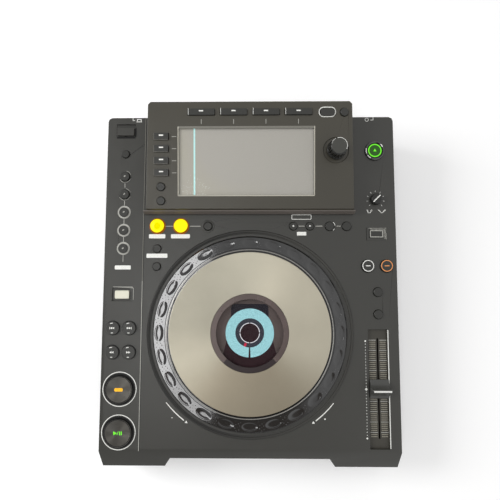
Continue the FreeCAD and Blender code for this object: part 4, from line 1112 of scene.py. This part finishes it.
@dataclass
class JogWheel:
    """Dimpled rim, metal plate, tinted window and the display under it.

    Attributes:
        surface: Face of the panel.
        finish: All finishes.
        dimples: Dimples round the rim.
        orbit: Radius that their middles lie on.
        face_inner: Inner radius of the rim's top.
        face_outer: Outer radius of the rim's top.
        face_rows: Faces across the rim's top.
        face_steps: Faces along it for each dimple.
        dish_length: Half the length of a dimple.
        dish_width: Half its width.
        dish_depth: Its depth.
        bubbles: Small domes between two dimples.
        display_above: Height of the display's floor over the panel.
    """

    surface: Surface
    finish: Palette
    dimples: int = 24
    orbit: float = 92.6
    face_inner: float = 87.1
    face_outer: float = 98.0
    face_rows: int = 26
    face_steps: int = 36
    dish_length: float = 8.3
    dish_width: float = 4.3
    dish_depth: float = 0.32
    bubbles: int = 9
    display_above: float = 2.1

    def build(self) -> None:
        """Dress the wheel and its bearing."""
        skin("jog_ring", self.finish.ring, WHEEL, 0.25, 40.0)
        skin("jog_plate", self.finish.plate, WHEEL, 0.3)
        skin("jog_window", self.finish.tint, WHEEL, 0.15)
        skin("jog_bearing", self.finish.black, CASE, 0.0)
        self.rim_face()
        self.groove_rings()
        self.rim_bubbles()
        self.display()
        self.window_border()
        self.display_marks()

    def rim_face(self) -> None:
        """Smooth top of the rim with its shallow oval dimples, laid over the solid's deeper ones."""
        top = span_of(self.surface, "jog_ring")[1].z + 0.06
        turns = self.dimples * self.face_steps
        half = self.face_steps // 2
        verts = []
        for turn in range(turns):
            along = 2 * math.pi * self.orbit * ((turn + half) % self.face_steps - half) / turns
            for row in range(self.face_rows + 1):
                reach = self.face_inner + (self.face_outer - self.face_inner) * row / self.face_rows
                share = (along / self.dish_length) ** 2 + ((reach - self.orbit) / self.dish_width) ** 2
                drop = self.dish_depth * (1 - share * share) if share < 1 else 0.0
                x, y = polar(*JOG_SPOT, reach, 2 * math.pi * turn / turns)
                verts.append(self.surface.point(x, y, top - drop))
        step = self.face_rows + 1
        faces = [(turn * step + row, turn * step + row + 1, (turn + 1) % turns * step + row + 1,
                  (turn + 1) % turns * step + row) for turn in range(turns) for row in range(self.face_rows)]
        piece = drawn("rim_face", verts, [], faces)
        bpy.ops.object.shade_smooth()
        register(piece, self.finish.ring, WHEEL)

    def groove_rings(self) -> None:
        """Black inner border of the rim with one fine bright ring."""
        border = [(84.0, 5.5), (84.0, 5.9), (87.0, 6.02), (87.2, 6.0), (87.2, 5.5)]
        bright = [(84.7, 5.8), (84.8, 6.15), (85.2, 6.3), (85.6, 6.15), (85.7, 5.8)]
        for name, section, material in (("rim_border", border, self.finish.black),
                                        ("groove_ring", bright, self.finish.groove)):
            register(lathe(name, self.surface, JOG_SPOT, section, 180), material, WHEEL)

    def rim_bubbles(self) -> None:
        """Small domes on the rim between the dimples, as one piece, scattered by a fixed pattern."""
        bpy.ops.mesh.primitive_uv_sphere_add(segments=10, ring_count=6, radius=1.0)
        first = bpy.context.view_layer.objects.active
        pieces = [first]
        while len(pieces) < self.dimples * self.bubbles:
            dome = bpy.data.objects.new("dome", first.data.copy())
            bpy.context.scene.collection.objects.link(dome)
            pieces.append(dome)
        for number, dome in enumerate(pieces):
            index, k = divmod(number, self.bubbles)
            turn = math.radians(360 / self.dimples * (index + 0.5) + (k * 37 % 11 - 5) * 0.36 - 90)
            reach = self.orbit + (k * 53 % 9 - 4) * 1.15
            radius = 0.32 + 0.1 * (k * 29 % 4)
            dome.location = polar(*JOG_SPOT, reach, turn) + (5.98,)
            dome.scale = (radius, radius, radius * 0.55)
        bpy.ops.object.select_all(action="DESELECT")
        for piece in pieces:
            piece.select_set(True)
        bpy.context.view_layer.objects.active = first
        bpy.ops.object.join()
        first.name = "rim_bubbles"
        seat(first, self.surface)
        bpy.ops.object.shade_smooth()
        register(first, self.finish.ring, WHEEL)

    def layer(self, name: str, above: float) -> Print:
        """Start a flat layer of the display, at a height over its floor."""
        return Print(name, self.surface, self.display_above + above)

    def display(self) -> None:
        """Floor, frame and dark fields of the small round display."""
        x, y = JOG_SPOT
        floor = self.layer("display_floor", 0.0)
        floor.disc(x, y, radius=34.8, steps=90)
        floor.finish(self.finish.display_wall, CASE, "bearing_plastic")
        frame = self.layer("display_frame", 0.12)
        frame.box(x, y + 14.0, width=38.5, height=31.0, corner=4.0)
        frame.finish(self.finish.display_dark, CASE, "bearing_plastic")
        skirt = self.layer("display_skirt", 0.16)
        rim = [polar(x, y, 34.6, math.radians(-38 - 104 * index / 24)) for index in range(25)]
        skirt.outline([(x - 19.3, y + 8.0), (x + 19.3, y + 8.0)] + rim)
        skirt.finish(self.finish.display_maroon, CASE, "bearing_plastic")
        for name, above, radius, ink in (("display_band", 0.24, 15.4, self.finish.display_navy),
                                         ("display_core", 0.27, 9.9, self.finish.display_maroon)):
            disc = self.layer(name, above)
            disc.disc(x, y, radius, steps=72)
            disc.finish(ink, CASE, "bearing_plastic")

    def window_border(self) -> None:
        """Printed border of the tinted window, darker at the front."""
        glass = span_of(self.surface, "jog_window")[1].z
        border = Print("window_border", self.surface, glass + 0.02)
        border.ring(*JOG_SPOT, radius=37.1, width=5.4, steps=96)
        border.finish(self.finish.border, WHEEL, "jog_glass")
        low = Print("window_border_low", self.surface, glass + 0.05)
        low.arc(*JOG_SPOT, radius=37.1, width=5.4, start=-132, end=-47)
        low.finish(self.finish.border_dark, WHEEL, "jog_glass")

    def display_marks(self) -> None:
        """Lit ring, circle and needle of the display."""
        lit = 0.3
        ring = self.layer("display_ring", lit)
        ring.arc(*JOG_SPOT, radius=19.8, width=10.0, start=-88.0, end=267.0)
        ring.finish(self.finish.display_cyan, CASE, "bearing_plastic")
        for index, name in enumerate(numbered("display_circle", 4)):
            circle = self.layer(name, lit)
            circle.arc(*JOG_SPOT, 10.0, 0.7, 90 * index + 3, 90 * index + 87)
            circle.finish(self.finish.display_white, CASE, "bearing_plastic")
        needle = self.layer("display_needle", lit)
        turn = math.radians(-111)
        needle.line(polar(*JOG_SPOT, 11.0, turn), polar(*JOG_SPOT, 14.8, turn), width=2.3)
        needle.finish(self.finish.display_red, CASE, "bearing_plastic")


@dataclass
class DisplayHousing:
    """Tilted housing with its screen, keys and selector."""

    surface: Surface
    panel: Surface
    finish: Palette
    window_x: float = -3.5
    window_y: float = 48.8
    window_length: float = 140.0
    window_depth: float = 70.0

    def build(self) -> None:
        """Dress the housing."""
        skin("display_housing", self.finish.housing, CASE, 0.5, segments=3)
        skin("display_window", self.finish.window, CASE, 0.1)
        skin("lcd_module", self.finish.bezel, CASE, 0.1)
        self.screen()
        self.screen_edge()
        self.marks()
        self.selector()
        self.front_lip()

    def screen(self) -> None:
        """Face of the screen under its window, with one bright column."""
        face = Print("screen_face", self.surface, -1.96, thick=0.03)
        face.box(self.window_x, self.window_y, self.window_length - 1.0, self.window_depth - 1.0)
        face.finish(self.finish.screen, CASE, "screen_module")
        line = Print("screen_line", self.surface, -1.9, thick=0.03)
        line.box(-57.3, self.window_y, 1.7, self.window_depth - 1.4)
        line.finish(self.finish.cyan, CASE, "screen_module")

    def screen_edge(self) -> None:
        """Pale line round the screen's opening and the faint shelf behind it."""
        left, right, low, high = -74.3, 67.0, 13.1, 84.9
        edge = Print("screen_edge", self.surface, LIFT)
        edge.path([(left + 0.45, high - 0.4), (left + 0.45, low + 0.4), (right - 0.4, low + 0.4),
                   (right - 0.4, high - 0.4)], width=0.9)
        edge.finish(self.finish.bezel, CASE, "housing_plastic")
        shelf = Print("screen_shelf", self.surface, 0.04)
        shelf.box((left + right) / 2, high - 1.15, right - left, height=2.3)
        shelf.finish(self.finish.faint, CASE, "housing_plastic")

    def marks(self) -> None:
        """Ticks beside the keys and the oval round the back button."""
        ticks = Print("housing_ticks", self.surface, LIFT)
        for key in numbered("top_key", 4):
            ticks.box(self.surface.spot(key).x, 89.6, width=0.55, height=4.8)
        for key in numbered("source_key", 4):
            ticks.box(-78.0, self.surface.spot(key).y - 0.6, width=4.6, height=0.55)
        ticks.finish(self.finish.grey, CASE, "housing_plastic")
        oval = Print("back_oval", self.surface, LIFT)
        x, y, _ = self.surface.spot("back_button")
        oval.frame(x, y, width=17.7, height=10.6, corner=5.2, line=0.9)
        oval.finish(self.finish.white, CASE, "housing_plastic")

    def selector(self) -> None:
        """Fluted knob with a painted highlight on its rim, and its plunger."""
        skin("selector_plunger", self.finish.steel, "selector_shaft", 0.1)
        skin("selector_knob", self.finish.knob, "selector_dial", 0.25, 35.0)
        x, y, _ = self.surface.spot("selector_knob")
        top = span_of(self.surface, "selector_knob")[1].z
        disc = Print("selector_top", self.surface, top + 0.02)
        disc.disc(x, y, radius=7.7, steps=60)
        disc.finish(self.finish.knob_top, "selector_dial", "knob_plastic")
        # Painted highlight: white arcs on the knob's rim, longest at the upper right.
        rim = Print("selector_rim_highlight", self.surface, top + 0.06)
        for width, start, end in ((0.45, -25, 105), (0.3, 120, 165)):
            rim.arc(x, y, 7.8, width, start, end)
        rim.finish(self.finish.white, "selector_dial", "knob_plastic")

    def front_lip(self) -> None:
        """Sloping lip along the foot of the housing's front; its lighter moulding is painted highlight on the
        sloping band.
        """
        section = [(242.3, 0.05), (242.2, 3.4), (244.3, 8.6), (245.4, 8.9), (245.6, 8.0), (244.0, 0.05)]
        left, right = -111.2, 109.4
        verts = [self.panel.point(x, y, z) for x in (left, right) for y, z in section]
        count = len(section)
        faces = [tuple(range(count))[::-1], tuple(range(count, 2 * count))]
        faces += [(k, (k + 1) % count, (k + 1) % count + count, k + count) for k in range(count)]
        piece = drawn("housing_front_lip", verts, [], faces)
        bpy.ops.object.mode_set(mode="EDIT")
        bpy.ops.mesh.select_all(action="SELECT")
        bpy.ops.mesh.normals_make_consistent(inside=False)
        bpy.ops.object.mode_set(mode="OBJECT")
        register(piece, self.finish.lip, CASE)


@dataclass
class TempoFader:
    """Scale plate with its lines and the saddle-shaped cap."""

    surface: Surface
    finish: Palette
    scale_low: float = 15.0
    pitch: float = 2.05
    count: int = 48
    middle_y: float = 63.0

    def build(self) -> None:
        """Dress the fader."""
        skin("fader_body", self.finish.scale, CASE, 0.1)
        skin("tempo_fader_cap", self.finish.fader_cap, "tempo_cap", 0.5, segments=3)
        self.lines()
        line = Print("fader_cap_line", self.surface, 14.05)
        line.box(self.surface.spot("tempo_fader_cap").x, self.middle_y, width=17.6, height=1.5)
        line.finish(self.finish.white, "tempo_cap", "cap_plastic")
        # Painted highlight: a white strip on the right wall of the fader's well.
        strip = Print("fader_wall_highlight", self.surface, -0.4, thick=0.4)
        strip.box(141.9, self.middle_y, width=0.8, height=118.0)
        strip.finish(self.finish.white)

    def lines(self) -> None:
        """Fine scale lines on both sides of the slot, every fifth one longer and brighter."""
        x = self.surface.spot("fader_body").x
        fine, bold = (Print("fader_scale_" + name, self.surface, -2.95) for name in ("fine", "bold"))
        for index in range(self.count):
            marks, width = (bold, 7.4) if index % 5 == 2 else (fine, 6.4)
            for side in (-5.4, 5.4):
                marks.box(x + side, self.scale_low + self.pitch * index, width, height=0.62)
        fine.finish(self.finish.tan, CASE, "fader_plastic")
        bold.finish(self.finish.grey, CASE, "fader_plastic")


@dataclass
class Base:
    """Lower case, drive, board, sockets, feet and the small rear and side controls."""

    panel: Surface
    finish: Palette

    def build(self) -> None:
        """Dress the hidden and side pieces."""
        for node, material, slot, edge in (
                ("lower_case", self.finish.case, "case_plastic", 0.5),
                ("slot_plate", self.finish.case, "case_plastic", 0.3),
                ("rear_plate", self.finish.case, "case_plastic", 0.3),
                ("stick_socket", self.finish.steel, "drive_steel", 0.1),
                ("disc_drive", self.finish.steel, "drive_steel", 0.2),
                ("main_board", self.finish.black, "board_green", 0.15),
                ("rubber_feet", self.finish.rubber, "foot_rubber", 0.5),
                ("case_screws", self.finish.dark_steel, "screw_steel", 0.1)):
            skin(node, material, CASE, edge)
        skin("power_button", self.finish.cap, "power_switch", 0.4)
        self.stick_cover()
        skin("speed_knob", self.finish.knob, "speed_dial", 0.4)
        x, y, _ = self.panel.spot("speed_knob")
        pointer = Print("speed_pointer", self.panel, 6.05)
        reach = 3.6
        pointer.line((x - reach, y - reach), (x + reach, y + reach), width=1.1)
        pointer.finish(self.finish.white, "speed_dial", "knob_plastic")

    def stick_cover(self) -> None:
        """Hinged cover of the memory stick port: a raised cap that clears the panel when open, painted shadow
        and glint.
        """
        skin("usb_cover", self.finish.cap, "stick_cover", 0.35)
        low, high = span_of(self.panel, "usb_cover")
        x, y = (low.x + high.x) / 2, (low.y + high.y) / 2
        width, depth = high.x - low.x, high.y - low.y
        raised = Print("usb_cover_cap", self.panel, high.z + 0.8, thick=1.5)
        raised.box(x - 0.2, y - 1.6, width - 1.6, depth - 5.8, corner=0.8)
        raised.finish(self.finish.panel, "stick_cover")
        # Painted shadow: black strips along the front and the right of the cover.
        shadow = Print("usb_cover_shadow", self.panel, LIFT)
        shadow.box(x, low.y - 0.4, width, height=1.9)
        shadow.box(high.x + 0.6, y - 1.5, width=0.8, height=depth - 4.0)
        shadow.finish(self.finish.black)
        # Painted glint: a faint line near the front of the raised cap.
        glint = Print("usb_cover_glint", self.panel, high.z + 1.6)
        glint.path([(low.x + 3.0, low.y + 2.1), (low.x + 6.6, low.y + 3.5), (low.x + 10.4, low.y + 2.2)],
                   width=0.8)
        glint.finish(self.finish.faint, "stick_cover")


@dataclass
class Studio:
    """Pale floor, soft lamps and the camera of the photograph.

    Attributes:
        surface: Face of the panel, which the camera is placed from.
        eye: Place of the camera over the panel, in millimetres.
        nod: Turn of the camera about its own x axis, in radians.
        lean: Turn about its y axis.
        lens: Focal length, in millimetres.
        floor_grey: Grey of the floor.
        floor_lift: Glow of the floor on seen rays, so that it renders white.
        air_level: Strength of the surrounding light.
        air_sides: Factors on it at the left and at the right.
        dark_place: Middle of the dim patch where the photographer stands.
        dark_reach: Half its width and depth.
        dark_tint: Its colour.
    """

    surface: Surface
    eye: tuple[float, float, float] = (6.2, 162.6, 465.1)
    nod: float = 0.09
    lean: float = 0.013
    lens: float = 32.07
    floor_grey: float = 0.86
    floor_lift: float = 0.165
    air_level: float = 0.70
    air_sides: Point = (0.66, 1.40)
    dark_place: tuple = (-0.035, -0.38, 0.0)
    dark_reach: Point = (0.16, 0.21)
    dark_tint: tuple = (0.26, 0.22, 0.19)

    def build(self) -> None:
        """Add the stage, the lamps and the camera."""
        bpy.ops.mesh.primitive_plane_add(size=6.0)
        floor = bpy.context.view_layer.objects.active
        floor.name = "studio_floor"
        shader = Shader("floor_white")
        white = (1.0, 1.0, 1.0)
        shader.set(Base_Color=shade(white, self.floor_grey), Emission_Color=shade(white), Roughness=0.9)
        seen = self.seen(shader.tree)
        shader.feed(remap(shader.tree, seen, (0.0, 1.0), (0.0, self.floor_lift)), "Emission Strength")
        floor.data.materials.append(shader.material)
        self.softbox("softbox_mid", (-0.40, -0.275, 1.5), (0.12, 0.40), power=1.05, turn=0.0)
        self.softbox("softbox_rear", (-0.285, -0.01, 1.5), (0.12, 0.22), power=0.58, turn=-0.785)
        self.softbox("softbox_front", (-0.285, -0.54, 1.5), (0.12, 0.22), power=0.42, turn=0.785)
        self.lamp("key_lamp", (-1.1, 0.25, 0.85), (0.6, 0.6), power=12.0, target=(0.0, 0.0, 0.05))
        self.air()
        self.camera()
        bpy.context.scene.view_settings.view_transform = "Standard"

    def seen(self, tree: Tree) -> Socket:
        """Value of 1 on rays of the camera, of mirrors and of glass."""
        rays = tree.nodes.new("ShaderNodeLightPath").outputs
        value = rays["Is Camera Ray"]
        for name in ("Is Glossy Ray", "Is Transmission Ray"):
            either = tree.nodes.new("ShaderNodeMath")
            either.operation = "MAXIMUM"
            tree.links.new(value, either.inputs[0])
            tree.links.new(rays[name], either.inputs[1])
            value = either.outputs["Value"]
        return value

    def air(self) -> None:
        """Add the surrounding light: pale, brighter to the right, but dim where the photographer stands."""
        world = bpy.data.worlds.new("studio_air")
        bpy.context.scene.world = world
        world.use_nodes = True
        tree = world.node_tree
        place = tree.nodes.new("ShaderNodeTexCoord").outputs["Generated"]
        offset = vector_step(tree, "SUBTRACT", place, self.dark_place).outputs["Vector"]
        wide, deep = self.dark_reach
        spread = vector_step(tree, "MULTIPLY", offset, (1 / wide, 1 / deep, 0.0)).outputs["Vector"]
        reach = vector_step(tree, "LENGTH", spread).outputs["Value"]
        tint = mixer(tree, remap(tree, reach, (0.75, 1.25), (0.0, 1.0), smooth=True), "MIX")
        tint.inputs["A"].default_value = shade(self.dark_tint)
        tint.inputs["B"].default_value = shade((1.0, 1.0, 1.0))
        parts = tree.nodes.new("ShaderNodeSeparateXYZ")
        tree.links.new(place, parts.inputs["Vector"])
        left, right = (self.air_level * side for side in self.air_sides)
        across = remap(tree, parts.outputs["X"], (-0.35, 0.30), (left, right))
        background = tree.nodes["Background"]
        tree.links.new(tint.outputs["Result"], background.inputs["Color"])
        tree.links.new(across, background.inputs["Strength"])

    def lamp(self, name: str, place: tuple, size: Point, power: float, target: tuple) -> Piece:
        """Add a soft rectangular lamp that looks at a target."""
        data = bpy.data.lights.new(name, "AREA")
        data.shape = "RECTANGLE"
        data.size, data.size_y = size
        data.energy = power
        lamp = bpy.data.objects.new(name, data)
        lamp.location = place
        lamp.rotation_euler = (Vector(place) - Vector(target)).to_track_quat("Z", "Y").to_euler()
        bpy.context.scene.collection.objects.link(lamp)
        return lamp

    def softbox(self, name: str, place: tuple, size: Point, power: float, turn: float) -> None:
        """Add a level lamp overhead, turned about the upright axis."""
        self.lamp(name, place, size, power, place[:2] + (0.0,)).rotation_euler = (0.0, 0.0, turn)

    def camera(self) -> None:
        """Add the camera at the photograph's viewing angle."""
        data = bpy.data.cameras.new("view_camera")
        data.lens = self.lens
        data.sensor_width = 36.0
        data.clip_start = 0.01
        camera = bpy.data.objects.new("view_camera", data)
        turn = Matrix.Rotation(self.nod, 4, "X") @ Matrix.Rotation(self.lean, 4, "Y")
        slope = self.surface.matrix.to_quaternion().to_matrix().to_4x4()
        camera.matrix_world = Matrix.Translation(self.surface.point(*self.eye)) @ slope @ turn
        bpy.context.scene.collection.objects.link(camera)
        bpy.context.scene.camera = camera


def main() -> None:
    """Build the player's looks in order."""
    logging.basicConfig(level=logging.INFO, format="%(name)s: %(message)s")
    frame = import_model()
    panel = Surface.from_joint(joint_named(frame, "jog_spin"), *JOG_SPOT)
    housing = Surface.from_joint(joint_named(frame, "selector_turn"), *SELECTOR_SPOT)
    finish = Palette(panel, panel.point(*JOG_SPOT))
    Studio(panel).build()
    ControlPanel(panel, finish).build()
    ButtonField(panel, housing, finish).build()
    JogWheel(panel, finish).build()
    DisplayHousing(housing, panel, finish).build()
    TempoFader(panel, finish).build()
    Base(panel, finish).build()


if __name__ == "__main__":
    main()
